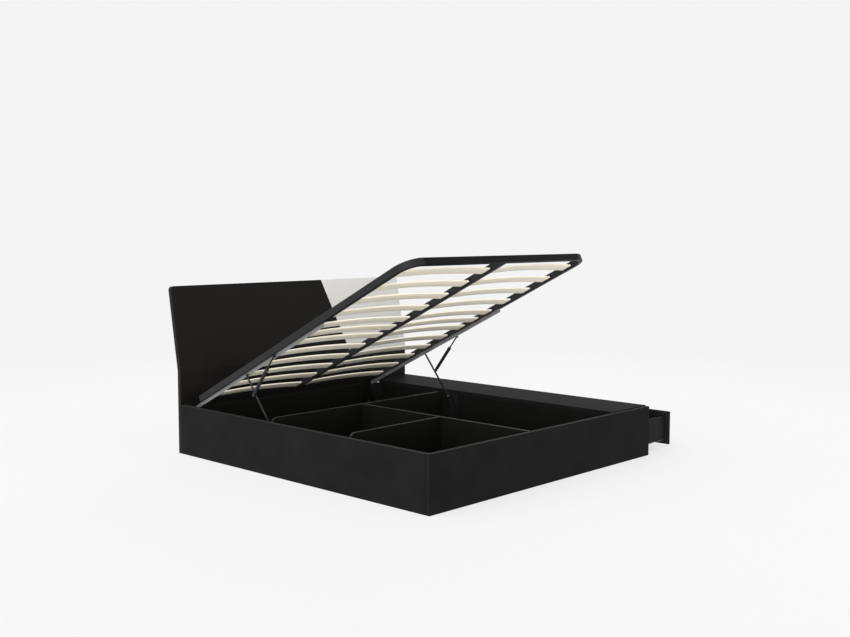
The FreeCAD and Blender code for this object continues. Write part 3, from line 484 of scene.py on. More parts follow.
@dataclass(frozen=True, kw_only=True)
class NitridedSteel(Finish):
    """A ground rod, blackened by nitriding: dark satin metal with hairline grinding marks."""

    mark_mm: float = 1.4
    roughness: tuple[float, float] = (0.24, 0.4)
    metallic: float = 1.0

    def pattern(self, tree: bpy.types.NodeTree, place: bpy.types.NodeSocket) -> Pattern:
        """Breaks the sheen with fine marks, drawn coarser than they are so that they show.

        Args:
            tree: The material's tree.
            place: The place on the piece.

        Returns:
            The marks' tone and gloss, with no relief.
        """
        hairs = add_node(tree, "ShaderNodeTexNoise",
                         {"Vector": place, "Scale": per_metre(self.mark_mm), "Detail": 2.0})
        return Pattern(hairs.outputs["Fac"], hairs.outputs["Fac"])


@dataclass(frozen=True, kw_only=True)
class StippledCoat(Finish):
    """A skin with a fine stipple: powder baked on steel, or plastic and rubber from a grained mould."""

    stipple_mm: float
    specular: float = 0.4

    def pattern(self, tree: bpy.types.NodeTree, place: bpy.types.NodeSocket) -> Pattern:
        """Raises the stipple and lets its hollows run a little duller, and a little darker as painted shade.

        Args:
            tree: The material's tree.
            place: The place on the piece.

        Returns:
            The stipple's tone, gloss and relief.
        """
        stipple = add_node(tree, "ShaderNodeTexNoise",
                           {"Vector": place, "Scale": per_metre(self.stipple_mm), "Detail": 2.0})
        # The hollows take the first, darker tone: painted shade in the stipple's dips
        spread = add_node(tree, "ShaderNodeMapRange", {"Value": stipple.outputs["Fac"], **NOISE_SPREAD})
        return Pattern(spread.outputs["Result"], spread.outputs["Result"], stipple.outputs["Fac"])


FINISHES: dict[Surface, Finish] = {
    # Melamine-faced chipboard, pressed matt: charcoal, a little paler where the light rakes over it
    Surface.OUTER_BOARD: PressedBoard("melamine_black_pressed", "#151516", "#19191a"),
    # The same board with a glued edge band: a paler, slightly warm line along the rim, painted only on the
    # upward faces as a highlight
    Surface.OUTER_BANDED: PressedBoard("melamine_black_band_highlight", "#151516", "#19191a", band="#2e2e2c"),
    # Foil-wrapped carcass board: darker than the outside, with a dry linen sheen
    Surface.INNER_BOARD: EmbossedFoil("foil_black_embossed", "#0d0d0c", "#131311"),
    # Dividers of that board, edge banded: a thin pale line round each compartment, painted on the upward
    # edges as a highlight
    Surface.INNER_BANDED: EmbossedFoil("foil_black_band_highlight", "#0d0d0c", "#131311", band="#2b2b29"),
    # Foil-wrapped drawer board: neutral, with a finer linen than the carcass
    Surface.DRAWER_BOARD: EmbossedFoil("foil_charcoal_embossed", "#0f0f0f", "#141414", thread_mm=2.6),
    # Black lacquer on the headboard: deeper and slightly warmer than the base
    Surface.DARK_LACQUER: SprayedLacquer("lacquer_black_sprayed", "#0e0d0c", "#12110f", specular=0.1),
    # Pale lacquer on the headboard's corner panel: a soft warm white
    Surface.PALE_LACQUER: SprayedLacquer("lacquer_pale_sprayed", "#c9c8c5", "#cfcecb", specular=0.4),
    # Black lacquered laminate, with the grain along each rail; the rails across the bed take a darker, duller
    # copy as painted shade
    Surface.RAIL_ALONG: LacqueredLaminate("laminate_black_lacquered_long", "#1b1b1c", "#222223",
                                          grain=Grain.ALONG_BED),
    # Painted shade: a darker, less glossy copy of the same laminate for the foot and head rails
    Surface.RAIL_ACROSS: LacqueredLaminate("laminate_black_lacquered_cross_shaded", "#101011", "#161617",
                                           grain=Grain.ACROSS_BED, specular=0.04),
    # Beech veneer, sanded and clear sealed: cream with tan streaks
    Surface.SLAT_BEECH: SandedBeech("beech_veneer_sanded", "#f7f2e4", "#ede4cf", fleck="#dccba9",
                                    glue="#cab891"),
    # Polypropylene from a grained mould: black with a soft gloss
    Surface.HOLDER_MOULDING: StippledCoat("polypropylene_black_moulded", "#151515", "#1f1f20", stipple_mm=2.4,
                                          roughness=(0.56, 0.42)),
    # Natural nylon from a polished mould: waxy off-white
    Surface.SLIDER_NYLON: StippledCoat("nylon_natural_moulded", "#dcd8cc", "#e8e5dc", stipple_mm=5.0,
                                       roughness=(0.46, 0.34), relief_depth=0.03 * MM),
    # Rubber pads: dull black
    Surface.PAD_RUBBER: StippledCoat("rubber_black_moulded", "#121212", "#1c1c1c", stipple_mm=2.0,
                                     roughness=(0.85, 0.7), specular=0.25, relief_depth=0.08 * MM),
    # Zinc-plated pressed steel: mid grey, dulled by its white oxide
    Surface.ZINC_STEEL: PlatedSteel("steel_zinc_plated", "#646565", "#797a79", metallic=0.4),
    # Galvanised cold-rolled strip of the runners: a cool grey metal, streaked along the draw
    Surface.RUNNER_STEEL: PlatedSteel("steel_galvanised_rolled", "#74787a", "#8f9395", crystal_mm=11.0,
                                      roughness=(0.36, 0.54)),
    # Powder-coated steel: black with a fine orange peel
    Surface.COATED_STEEL: StippledCoat("steel_black_powder_coated", "#101011", "#171718", stipple_mm=2.8,
                                       roughness=(0.5, 0.36), specular=0.25, relief_depth=0.06 * MM),
    # Nitrided piston rod: near-black metal with a satin gleam
    Surface.NITRIDED_ROD: NitridedSteel("steel_black_nitrided", "#2a2b2d", "#37383a"),
}


class Palette:
    """Every finish of the bed, made once and shared by its nodes and pieces."""

    def __init__(self) -> None:
        """Makes a material for each finish."""
        self.materials = {surface: finish.material() for surface, finish in FINISHES.items()}

    def dress(self, surface: Surface, *nodes: str) -> None:
        """Gives nodes of the frame one finish.

        Args:
            surface: The finish.
            nodes: Names of the frame's nodes.
        """
        for name in nodes:
            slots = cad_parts[name].data.materials
            slots.clear()
            slots.append(self.materials[surface])
            log.info("%s has the finish %s", name, surface.value)


# Shapes


def facing(point: Vector, outward: Vector) -> Matrix:
    """The place of a shape that is drawn along +Z and sits at a point, facing outward."""
    return Matrix.Translation(point) @ outward.to_track_quat("Z", "Y").to_matrix().to_4x4()


def stamp(target: bmesh.types.BMesh, shape: bmesh.types.BMesh, place: Matrix) -> None:
    """Copies a shape into a larger mesh.

    Args:
        target: The mesh that gets the copy.
        shape: The shape, which stays as it is.
        place: Where the copy goes.
    """
    mesh = bpy.data.meshes.new("stamp")
    shape.to_mesh(mesh)
    mesh.transform(place)
    target.from_mesh(mesh)
    bpy.data.meshes.remove(mesh)


def stamped(shape: bmesh.types.BMesh, places: Iterable[Matrix]) -> bmesh.types.BMesh:
    """Copies a shape to several places.

    Args:
        shape: The shape, which is freed.
        places: Where the copies go.

    Returns:
        One mesh with all the copies.
    """
    target = bmesh.new()
    for place in places:
        stamp(target, shape, place)
    shape.free()
    return target


def turned(profile: Iterable[tuple[float, float]], steps: int = 28) -> bmesh.types.BMesh:
    """A turned shape about Z.

    Args:
        profile: Pairs of radius and height round a closed outline, clear of the axis.
        steps: Facets round the axis.

    Returns:
        The closed mesh.
    """
    shape = bmesh.new()
    corners = [shape.verts.new((radius, 0, height)) for radius, height in profile]
    edges = [shape.edges.new(pair) for pair in zip(corners, corners[1:] + corners[:1])]
    bmesh.ops.spin(shape, geom=corners + edges, cent=(0, 0, 0), axis=(0, 0, 1), dvec=(0, 0, 0),
                   angle=math.tau, steps=steps, use_merge=True, use_normal_flip=False, use_duplicate=False)
    bmesh.ops.remove_doubles(shape, verts=shape.verts, dist=0.001 * MM)
    return shape


def add_block(shape: bmesh.types.BMesh, size: tuple[float, float, float]) -> list[bmesh.types.BMVert]:
    """Adds a block about the origin to a mesh.

    Args:
        shape: The mesh.
        size: The block's lengths along X, Y and Z.

    Returns:
        The block's corners.
    """
    corners = bmesh.ops.create_cube(shape, size=1)["verts"]
    bmesh.ops.scale(shape, vec=size, verts=corners)
    return corners


def soften(shape: bmesh.types.BMesh, edges: Iterable[bmesh.types.BMEdge], width: float,
           segments: int) -> None:
    """Rounds edges of a mesh.

    Args:
        shape: The mesh.
        edges: Its edges that are rounded.
        width: How far the rounding reaches from each edge.
        segments: Facets across the rounding.
    """
    bmesh.ops.bevel(shape, geom=list(edges), offset=width, offset_type="OFFSET", affect="EDGES",
                    segments=segments, profile=0.5, material=-1)


@dataclass(frozen=True)
class DrivenHead:
    """The head of a screw or bolt, drawn along +Z with its seat at the origin."""

    radius: float
    height: float
    recess: Recess
    segments: int = 24
    rim_share: float = 0.42
    lip_share: float = 0.1
    recess_share: float = 0.55
    recess_depth_share: float = 0.6
    recess_taper: float = 0.8
    arm_half_angle: float = math.radians(18)
    waist_share: float = 0.42

    def reach(self, angle: float) -> float:
        """Shapes the recess.

        Args:
            angle: The direction from the head's middle.

        Returns:
            How far the recess reaches there, as a share of its largest radius.
        """
        if self.recess is Recess.CROSS:
            off_arm = abs((angle + math.pi / 4) % (math.pi / 2) - math.pi / 4)
            return 1.0 if off_arm < self.arm_half_angle else self.waist_share
        return math.cos(math.pi / 6) / math.cos(angle % (math.pi / 3) - math.pi / 6)

    def build(self) -> bmesh.types.BMesh:
        """Rounds the rim and sinks the recess.

        Returns:
            The head's mesh.
        """
        shape = bmesh.new()
        bmesh.ops.create_cone(shape, cap_ends=True, segments=self.segments, radius1=self.radius,
                              radius2=self.radius, depth=self.height)
        bmesh.ops.translate(shape, vec=(0, 0, self.height / 2), verts=shape.verts)
        rim = [edge for edge in shape.edges if all(vert.co.z > self.height / 2 for vert in edge.verts)]
        soften(shape, rim, self.height * self.rim_share, segments=3)
        top = max(shape.faces, key=lambda face: min(vert.co.z for vert in face.verts))
        bmesh.ops.inset_individual(shape, faces=[top], thickness=self.radius * self.lip_share)
        widest = self.radius * self.recess_share
        for vert in top.verts:
            angle = math.atan2(vert.co.y, vert.co.x)
            reach = widest * self.reach(angle)
            vert.co.x = reach * math.cos(angle)
            vert.co.y = reach * math.sin(angle)
        sunk = bmesh.ops.extrude_discrete_faces(shape, faces=[top])["faces"][0]
        bmesh.ops.scale(shape, vec=(self.recess_taper, self.recess_taper, 1), verts=sunk.verts)
        bmesh.ops.translate(shape, vec=(0, 0, -self.height * self.recess_depth_share), verts=sunk.verts)
        return shape


def add_object(name: str, data: bpy.types.ID) -> bpy.types.Object:
    """Puts a mesh, a lamp or a camera into the scene under its name."""
    new = bpy.data.objects.new(name, data)
    bpy.context.scene.collection.objects.link(new)
    return new


def make_piece(shape: bmesh.types.BMesh, name: str, body: str, material: bpy.types.Material,
               replaced: Iterable[str] = ()) -> bpy.types.Object:
    """Turns a mesh into a piece that moves with a body.

    Args:
        shape: The finished mesh, which is freed.
        name: The piece's name.
        body: The body that carries it.
        material: Its finish.
        replaced: The frame's nodes that it stands for.

    Returns:
        The piece's object.
    """
    bmesh.ops.recalc_face_normals(shape, faces=shape.faces)
    mesh = bpy.data.meshes.new(name)
    shape.to_mesh(mesh)
    shape.free()
    mesh.shade_smooth()
    mesh.set_sharp_from_angle(angle=SHARP_ANGLE)
    mesh.materials.append(material)
    piece = add_object(name, mesh)
    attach(piece, body)
    if replaced:
        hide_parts(*replaced)
    log.info("%s rides on %s with %d faces", name, body, len(mesh.polygons))
    return piece


# The bed


@dataclass
class BaseBox:
    """The box base: outer panels, ledge, dividers, floor and corner blocks."""

    palette: Palette
    block_side: float = 40 * MM
    block_rows: tuple[float, ...] = (-999 * MM, 1024 * MM)
    bolt_heights: tuple[float, ...] = (62.5 * MM, 143.5 * MM)
    bolt_radius: float = 7 * MM
    bolt_height: float = 5 * MM

    def dress(self) -> None:
        """Finishes the panels, the inner boards and the pads."""
        # The banded finishes paint a highlight on the upward rims of these panels and dividers
        self.palette.dress(Surface.OUTER_BANDED, "left_side_panel", "foot_panel")
        self.palette.dress(Surface.OUTER_BOARD, "ledge_top", "drawer_fascia")
        self.palette.dress(Surface.INNER_BANDED, "long_divider", "cross_divider_head", "cross_divider_foot")
        self.palette.dress(Surface.INNER_BOARD, "head_cross_panel", "bay_inner_wall", "bay_partition_foot",
                           "bay_partition_head", "floor_boards", "corner_blocks", "runner_bearers")
        self.palette.dress(Surface.PAD_RUBBER, "floor_pads")
        self.palette.dress(Surface.COATED_STEEL, "corner_bolts")
        self.palette.dress(Surface.RUNNER_STEEL, "fixed_runners")

    def build(self) -> None:
        """Makes the socket heads of the corner bolts."""
        head = DrivenHead(self.bolt_radius, self.bolt_height, Recess.HEXAGON).build()
        places = []
        for side in Side:
            x = side.off_wall(self.block_side)
            for y in self.block_rows:
                places += [facing(Vector((x, y, z)), side.inward) for z in self.bolt_heights]
        make_piece(stamped(head, places), "corner_bolt_heads", "base",
                   self.palette.materials[Surface.COATED_STEEL], ("corner_bolts",))


@dataclass
class Headboard:
    """The upright panel, the two leaning panels and the battens behind them."""

    palette: Palette
    front: float = 1044 * MM
    bend_height: float = 512 * MM
    lean: float = math.radians(9.8)
    batten_back: float = 52 * MM
    batten_middles: tuple[float, ...] = (-737.2 * MM, 320.1 * MM, 776 * MM)
    screw_offset: float = 20 * MM
    upright_rows: tuple[float, ...] = (190 * MM, 440 * MM)
    leaning_rows: tuple[float, ...] = (60 * MM, 350 * MM)
    screw_radius: float = 4.5 * MM
    screw_height: float = 2.4 * MM

    def dress(self) -> None:
        """Finishes the panels and battens."""
        self.palette.dress(Surface.DARK_LACQUER, "headboard_lower_panel", "headboard_upper_panel")
        self.palette.dress(Surface.PALE_LACQUER, "headboard_pale_panel")
        self.palette.dress(Surface.INNER_BOARD, "headboard_battens")

    def build(self) -> None:
        """Screws each batten to the panels above and below the bend."""
        head = DrivenHead(self.screw_radius, self.screw_height, Recess.CROSS).build()
        up = Vector((0, math.sin(self.lean), math.cos(self.lean)))
        back = Vector((0, math.cos(self.lean), -math.sin(self.lean)))
        bend = Vector((0, self.front, self.bend_height))
        places = []
        for middle in self.batten_middles:
            for x in (middle - self.screw_offset, middle + self.screw_offset):
                across = Vector((x, 0, 0))
                for z in self.upright_rows:
                    seat = Vector((x, self.front + self.batten_back, z))
                    places.append(facing(seat, Vector((0, 1, 0))))
                for along in self.leaning_rows:
                    places.append(facing(across + bend + up * along + back * self.batten_back, back))
        make_piece(stamped(head, places), "batten_screws", "base",
                   self.palette.materials[Surface.RUNNER_STEEL])


@dataclass
class SlattedPlatform:
    """The lifted frame with its bowed slats and their holders, drawn in its own directions from the pivot."""

    palette: Palette
    bays: tuple[tuple[str, float, float], ...] = (
        ("left", -888 * MM, -178 * MM), ("right", -152 * MM, 558 * MM))
    first_slat: float = 114 * MM
    last_slat: float = 1886 * MM
    step_shares: tuple[float, ...] = (1, 1, 1, 1, 1, 0.747, 0.747, 1, 1, 1, 1)
    slat_width: float = 72 * MM
    slat_thickness: float = 9 * MM
    slat_bow: float = 12 * MM
    slat_bottom: float = 24 * MM
    slat_end_gap: float = 3 * MM
    slat_edge: float = 3.2 * MM
    slat_cuts: int = 17
    tone_range: float = 0.5
    tone_step: float = 0.618
    tone_bay_step: float = 0.37
    holder_length: float = 76 * MM
    holder_depth: float = 10 * MM
    holder_height: float = 22 * MM
    holder_bottom: float = 21.7 * MM
    holder_wall: float = 1.7 * MM
    holder_edge: float = 0.5 * MM
    rib_width: float = 3 * MM
    rib_height: float = 2.2 * MM
    rib_depth_share: float = 0.86
    rib_sink: float = 0.2 * MM
    rib_edge: float = 0.8 * MM
    rib_shares: tuple[float, ...] = (-0.3, 0, 0.3)

    def dress(self) -> None:
        """Finishes the rails, and the plain slats and holders that finer pieces stand for."""
        self.palette.dress(Surface.RAIL_ALONG, "platform_rail_left", "platform_rail_right",
                           "platform_middle_rail", "platform_foot_bends")
        # The foot and head rails take the laminate's darker copy, which is painted shade
        self.palette.dress(Surface.RAIL_ACROSS, "platform_rail_foot", "platform_rail_head")
        self.palette.dress(Surface.SLAT_BEECH, "slats_left", "slats_right")
        self.palette.dress(Surface.HOLDER_MOULDING, "slat_holders")

    @staticmethod
    def place() -> Matrix:
        """Where the platform's own directions lie at rest."""
        return Matrix.Translation(PIVOT) @ Matrix.Rotation(-LIFT_ANGLE, 4, "X")

    def slat_places(self) -> list[float]:
        """Spaces the slats, closer together in the middle zone.

        Returns:
            Distances of the slats' middles from the pivot.
        """
        step = (self.last_slat - self.first_slat) / sum(self.step_shares)
        places = [self.first_slat]
        for share in self.step_shares:
            places.append(places[-1] + share * step)
        return places

    def slat(self, length: float, tone: float) -> bmesh.types.BMesh:
        """One slat about its own middle, with rounded long edges.

        Args:
            length: The slat's length.
            tone: How warm this slat is, from nought to one.

        Returns:
            The bowed mesh, with its tone and the height through its veneers on each corner.
        """
        shape = bmesh.new()
        add_block(shape, (length, self.slat_width, self.slat_thickness))
        long_edges = [edge for edge in shape.edges if edge.calc_length() > length / 2]
        soften(shape, long_edges, self.slat_edge, segments=3)
        long_edges = [edge for edge in shape.edges if edge.calc_length() > length / 2]
        bmesh.ops.subdivide_edges(shape, edges=long_edges, cuts=self.slat_cuts, use_grid_fill=True)
        ply = shape.verts.layers.float.new("ply_height")
        warmth = shape.verts.layers.float.new("slat_tone")
        for vert in shape.verts:
            vert[ply] = vert.co.z
            vert[warmth] = tone
            vert.co.z += self.slat_bow * (1 - (2 * vert.co.x / length) ** 2)
        return shape

    def build_slats(self) -> None:
        """Lays the slats of both bays, each a little different in tone."""
        middle_height = self.slat_bottom + self.slat_thickness / 2
        for bay, (name, start, end) in enumerate(self.bays):
            target = bmesh.new()
            target.verts.layers.float.new("ply_height")
            target.verts.layers.float.new("slat_tone")
            length = end - start - 2 * self.slat_end_gap
            for index, distance in enumerate(self.slat_places()):
                tone = self.tone_range * ((index * self.tone_step + bay * self.tone_bay_step) % 1)
                shape = self.slat(length, tone)
                at = Matrix.Translation(((start + end) / 2, -distance, middle_height))
                stamp(target, shape, self.place() @ at)
                shape.free()
            make_piece(target, f"bowed_slats_{name}", "platform", self.palette.materials[Surface.SLAT_BEECH],
                       (f"slats_{name}",))

    def holder(self) -> bmesh.types.BMesh:
        """Moulds one holder: a sleeve that is open along X, with stiffening ribs under it.

        Returns:
            The holder's mesh about its own middle.
        """
        shape = bmesh.new()
        add_block(shape, (self.holder_depth, self.holder_length, self.holder_height))
        mouths = [face for face in shape.faces if abs(face.normal.x) > 0.5]
        bmesh.ops.delete(shape, geom=mouths, context="FACES_ONLY")
        bmesh.ops.recalc_face_normals(shape, faces=shape.faces)
        bmesh.ops.solidify(shape, geom=shape.faces, thickness=self.holder_wall)
        soften(shape, shape.edges, self.holder_edge, segments=2)
        for share in self.rib_shares:
            rib_depth = self.holder_depth * self.rib_depth_share
            rib = add_block(shape, (rib_depth, self.rib_width, self.rib_height))
            below = -self.holder_height / 2 - self.rib_height / 2 + self.rib_sink
            bmesh.ops.translate(shape, vec=(0, share * self.holder_length, below), verts=rib)
            rib_edges = list({edge for vert in rib for edge in vert.link_edges})
            soften(shape, rib_edges, self.rib_edge, segments=2)
        return shape

    def build_holders(self) -> None:
        """Sets a holder at both ends of each slat."""
        middle_height = self.holder_bottom + self.holder_height / 2
        half = self.holder_depth / 2
        places = []
        for _, start, end in self.bays:
            for distance in self.slat_places():
                for x in (start + half, end - half):
                    places.append(self.place() @ Matrix.Translation((x, -distance, middle_height)))
        make_piece(stamped(self.holder(), places), "moulded_slat_holders", "platform",
                   self.palette.materials[Surface.HOLDER_MOULDING], ("slat_holders",))

    def build(self) -> None:
        """Makes the slats and their holders."""
        self.build_slats()
        self.build_holders()


@dataclass
class LiftGear:
    """The steel angles, slot brackets, guide plates, stays and gas springs on both sides."""

    palette: Palette
    flange_seat: float = 11 * MM
    flange_middle: float = 53.5 * MM
    flange_screws: tuple[float, ...] = (126 * MM, 380 * MM, 707 * MM, 1010 * MM, 1212 * MM)
    bracket_face: float = 5 * MM
    bracket_screws: tuple[tuple[float, float], ...] = (
        (952 * MM, 266 * MM), (1018 * MM, 266 * MM), (952 * MM, 236 * MM), (1018 * MM, 236 * MM))
    guide_face: float = 6 * MM
    guide_screws: tuple[tuple[float, float], ...] = ((202 * MM, 275 * MM), (258 * MM, 48 * MM))
    wall_screw_radius: float = 5 * MM
    rail_screw_radius: float = 3 * MM
    screw_height: float = 2.4 * MM
    gas_foot: Vector = Vector((0, 378.3, 427.82)) * MM
    gas_top: Vector = Vector((0, 189.02, 667.82)) * MM
    gas_offset: float = 22 * MM
    tube_end: float = 204 * MM
    tube_radius: float = 10.5 * MM
    rod_radius: float = 4.6 * MM
    gland_length: float = 13 * MM
    gland_wall: float = 0.9 * MM
    gland_fit: float = 0.05 * MM
    gland_rod_gap: float = 0.6 * MM
    gland_lip: float = 1.6 * MM
    gland_lip_edge: float = 1.0 * MM
    gland_edge: float = 0.7 * MM
    gland_seat: float = 0.1 * MM
    stay_face: float = 39 * MM
    stay_pivot: tuple[float, float] = (463.15 * MM, 534.11 * MM)
    stay_foot: tuple[float, float] = (251.02 * MM, 268.38 * MM)
    pivot_head_face: float = 53.3 * MM
    rivet_radius: float = 5 * MM
    rivet_height: float = 1.8 * MM
    rivet_eye: float = 0.4 * MM
    rivet_dome: tuple[tuple[float, float], ...] = ((1, 0), (1, 0.3), (0.8, 0.75), (0.5, 0.95))

    def dress(self) -> None:
        """Finishes the lift's steel and nylon."""
        self.palette.dress(Surface.ZINC_STEEL, "lift_angle_left", "lift_angle_right")
        self.palette.dress(Surface.SLIDER_NYLON, "pivot_sliders")
        self.palette.dress(Surface.COATED_STEEL, "stay_left", "stay_right", "gas_cylinder_left",
                           "gas_cylinder_right", "slot_brackets", "guide_plates")
        self.palette.dress(Surface.NITRIDED_ROD, "gas_rod_left", "gas_rod_right")

    def screw(self, radius: float) -> bmesh.types.BMesh:
        """A pan-head screw of the steel parts."""
        return DrivenHead(radius, self.screw_height, Recess.CROSS).build()

    def build_screws(self) -> None:
        """Screws the brackets and guide plates to the walls, and the angles to the rails."""
        steel = self.palette.materials[Surface.COATED_STEEL]
        plates = ((self.bracket_face, self.bracket_screws), (self.guide_face, self.guide_screws))
        wall_places = []
        for side in Side:
            for face, seats in plates:
                for y, z in seats:
                    seat = Vector((side.off_wall(face), y, z))
                    wall_places.append(facing(seat, side.inward))
        make_piece(stamped(self.screw(self.wall_screw_radius), wall_places), "lift_wall_screws", "base",
                   steel)
        rail_places = []
        for side in Side:
            x = side.off_wall(self.flange_middle)
            for distance in self.flange_screws:
                seat = facing(Vector((x, -distance, self.flange_seat)), Vector((0, 0, -1)))
                rail_places.append(SlattedPlatform.place() @ seat)
        make_piece(stamped(self.screw(self.rail_screw_radius), rail_places), "lift_rail_screws", "platform",
                   steel)

    def build_glands(self) -> None:
        """Puts a gland cap on the rod end of each gas spring's tube."""
        outer, inner = self.tube_radius + self.gland_wall, self.tube_radius + self.gland_fit
        bore = self.rod_radius + self.gland_rod_gap
        start, lip = -self.gland_length, self.gland_lip
        profile = (
            (inner, start), (outer - self.gland_edge, start), (outer, start + self.gland_edge),
            (outer, lip - self.gland_lip_edge), (outer - self.gland_lip_edge, lip),
            (bore, lip), (bore, self.gland_seat), (inner, self.gland_seat),
        )
        axis = (self.gas_top - self.gas_foot).normalized()
        for side in Side:
            seat = self.gas_foot + axis * self.tube_end
            seat.x = side.off_wall(self.gas_offset)
            shape = turned(profile)
            bmesh.ops.transform(shape, matrix=facing(seat, axis), verts=shape.verts)
            make_piece(shape, f"gas_gland_{side.label}", f"{side.label}_gas_tube",
                       self.palette.materials[Surface.HOLDER_MOULDING])

    def build_rivets(self) -> None:
        """Closes the stays' pins with domed rivet heads."""
        dome = [(self.rivet_radius * across, self.rivet_height * rise) for across, rise in self.rivet_dome]
        profile = ((self.rivet_eye, 0), *dome, (self.rivet_eye, self.rivet_height))
        seats = (
            (self.pivot_head_face, *self.stay_pivot), (self.stay_face, *self.stay_foot),
            (self.stay_face, self.gas_foot.y, self.gas_foot.z),
        )
        for side in Side:
            places = [facing(Vector((side.off_wall(off), y, z)), side.inward) for off, y, z in seats]
            make_piece(stamped(turned(profile), places), f"stay_rivets_{side.label}", f"{side.label}_stay",
                       self.palette.materials[Surface.ZINC_STEEL])

    def build(self) -> None:
        """Makes the lift's screws, glands and rivets."""
        self.build_screws()
        self.build_glands()
        self.build_rivets()


@dataclass
class DrawerSet:
    """Three drawers with their runners, and the brackets that hold each front to its sides."""

    palette: Palette
    names: tuple[str, ...] = ("foot", "middle", "head")
    bracket_leg: float = 34 * MM
    bracket_height: float = 26 * MM
    bracket_plate: float = 2.5 * MM
    bracket_edge: float = 0.6 * MM
    wall: float = 12 * MM
    floor_top: float = 64 * MM
    bracket_lift: float = 30 * MM
    screw_share: float = 0.62
    screw_radius: float = 4 * MM
    screw_height: float = 2 * MM

    def dress(self) -> None:
        """Finishes fronts, boxes and runners."""
        for name in self.names:
            self.palette.dress(Surface.OUTER_BOARD, f"drawer_{name}_front")
            self.palette.dress(Surface.DRAWER_BOARD, f"drawer_{name}_sides", f"drawer_{name}_back",
                               f"drawer_{name}_bottom")
            self.palette.dress(Surface.RUNNER_STEEL, f"drawer_{name}_runners", f"drawer_{name}_mid_runners")

    def bracket(self) -> bmesh.types.BMesh:
        """Bends a corner plate about the corner's upright, with its legs along -X and +Y.

        Returns:
            The plate's mesh.
        """
        shape = bmesh.new()
        leg = self.bracket_leg
        path = [shape.verts.new(point) for point in ((-leg, 0, 0), (0, 0, 0), (0, leg, 0))]
        bends = [shape.edges.new(pair) for pair in zip(path, path[1:])]
        raised = bmesh.ops.extrude_edge_only(shape, edges=bends)["geom"]
        tops = [item for item in raised if isinstance(item, bmesh.types.BMVert)]
        bmesh.ops.translate(shape, vec=(0, 0, self.bracket_height), verts=tops)
        bmesh.ops.recalc_face_normals(shape, faces=shape.faces)
        bmesh.ops.solidify(shape, geom=shape.faces, thickness=self.bracket_plate)
        soften(shape, shape.edges, self.bracket_edge, segments=2)
        return shape

    def build(self) -> None:
        """Fixes each front to its sides with two corner brackets and their screws."""
        bracket = self.bracket()
        screw = DrivenHead(self.screw_radius, self.screw_height, Recess.CROSS).build()
        for name in self.names:
            front_low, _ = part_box(f"drawer_{name}_front")
            side_low, side_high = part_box(f"drawer_{name}_sides")
            z = self.floor_top + self.bracket_lift
            target = bmesh.new()
            for y, inward in ((side_low.y + self.wall, 1), (side_high.y - self.wall, -1)):
                corner = Vector((front_low.x, y, z))
                flip = Matrix.Diagonal((1, inward, 1, 1))
                stamp(target, bracket, Matrix.Translation(corner) @ flip)
                middle = self.bracket_leg * self.screw_share
                rise = Vector((0, 0, self.bracket_height / 2))
                on_side = corner + rise + Vector((-middle, inward * self.bracket_plate, 0))
                on_front = corner + rise + Vector((-self.bracket_plate, inward * middle, 0))
                for seat, outward in ((on_side, Vector((0, inward, 0))), (on_front, Vector((-1, 0, 0)))):
                    stamp(target, screw, facing(seat, outward))
            make_piece(target, f"drawer_{name}_brackets", f"{name}_drawer",
                       self.palette.materials[Surface.RUNNER_STEEL])
        bracket.free()
        screw.free()


# The studio


@dataclass(frozen=True)
class Lamp:
    """A broad distant lamp: where its light comes from, its strength and how wide it looks."""

    name: str
    source: Vector
    strength: float
    spread: float
    mirrored: bool = True

    def build(self) -> None:
        """Adds the lamp; glossy surfaces show it only where it is mirrored."""
        light = bpy.data.lights.new(self.name, "SUN")
        light.energy = self.strength
        light.angle = self.spread
        lamp = add_object(self.name, light)
        lamp.rotation_euler = self.source.to_track_quat("Z", "Y").to_euler()
        lamp.visible_glossy = self.mirrored


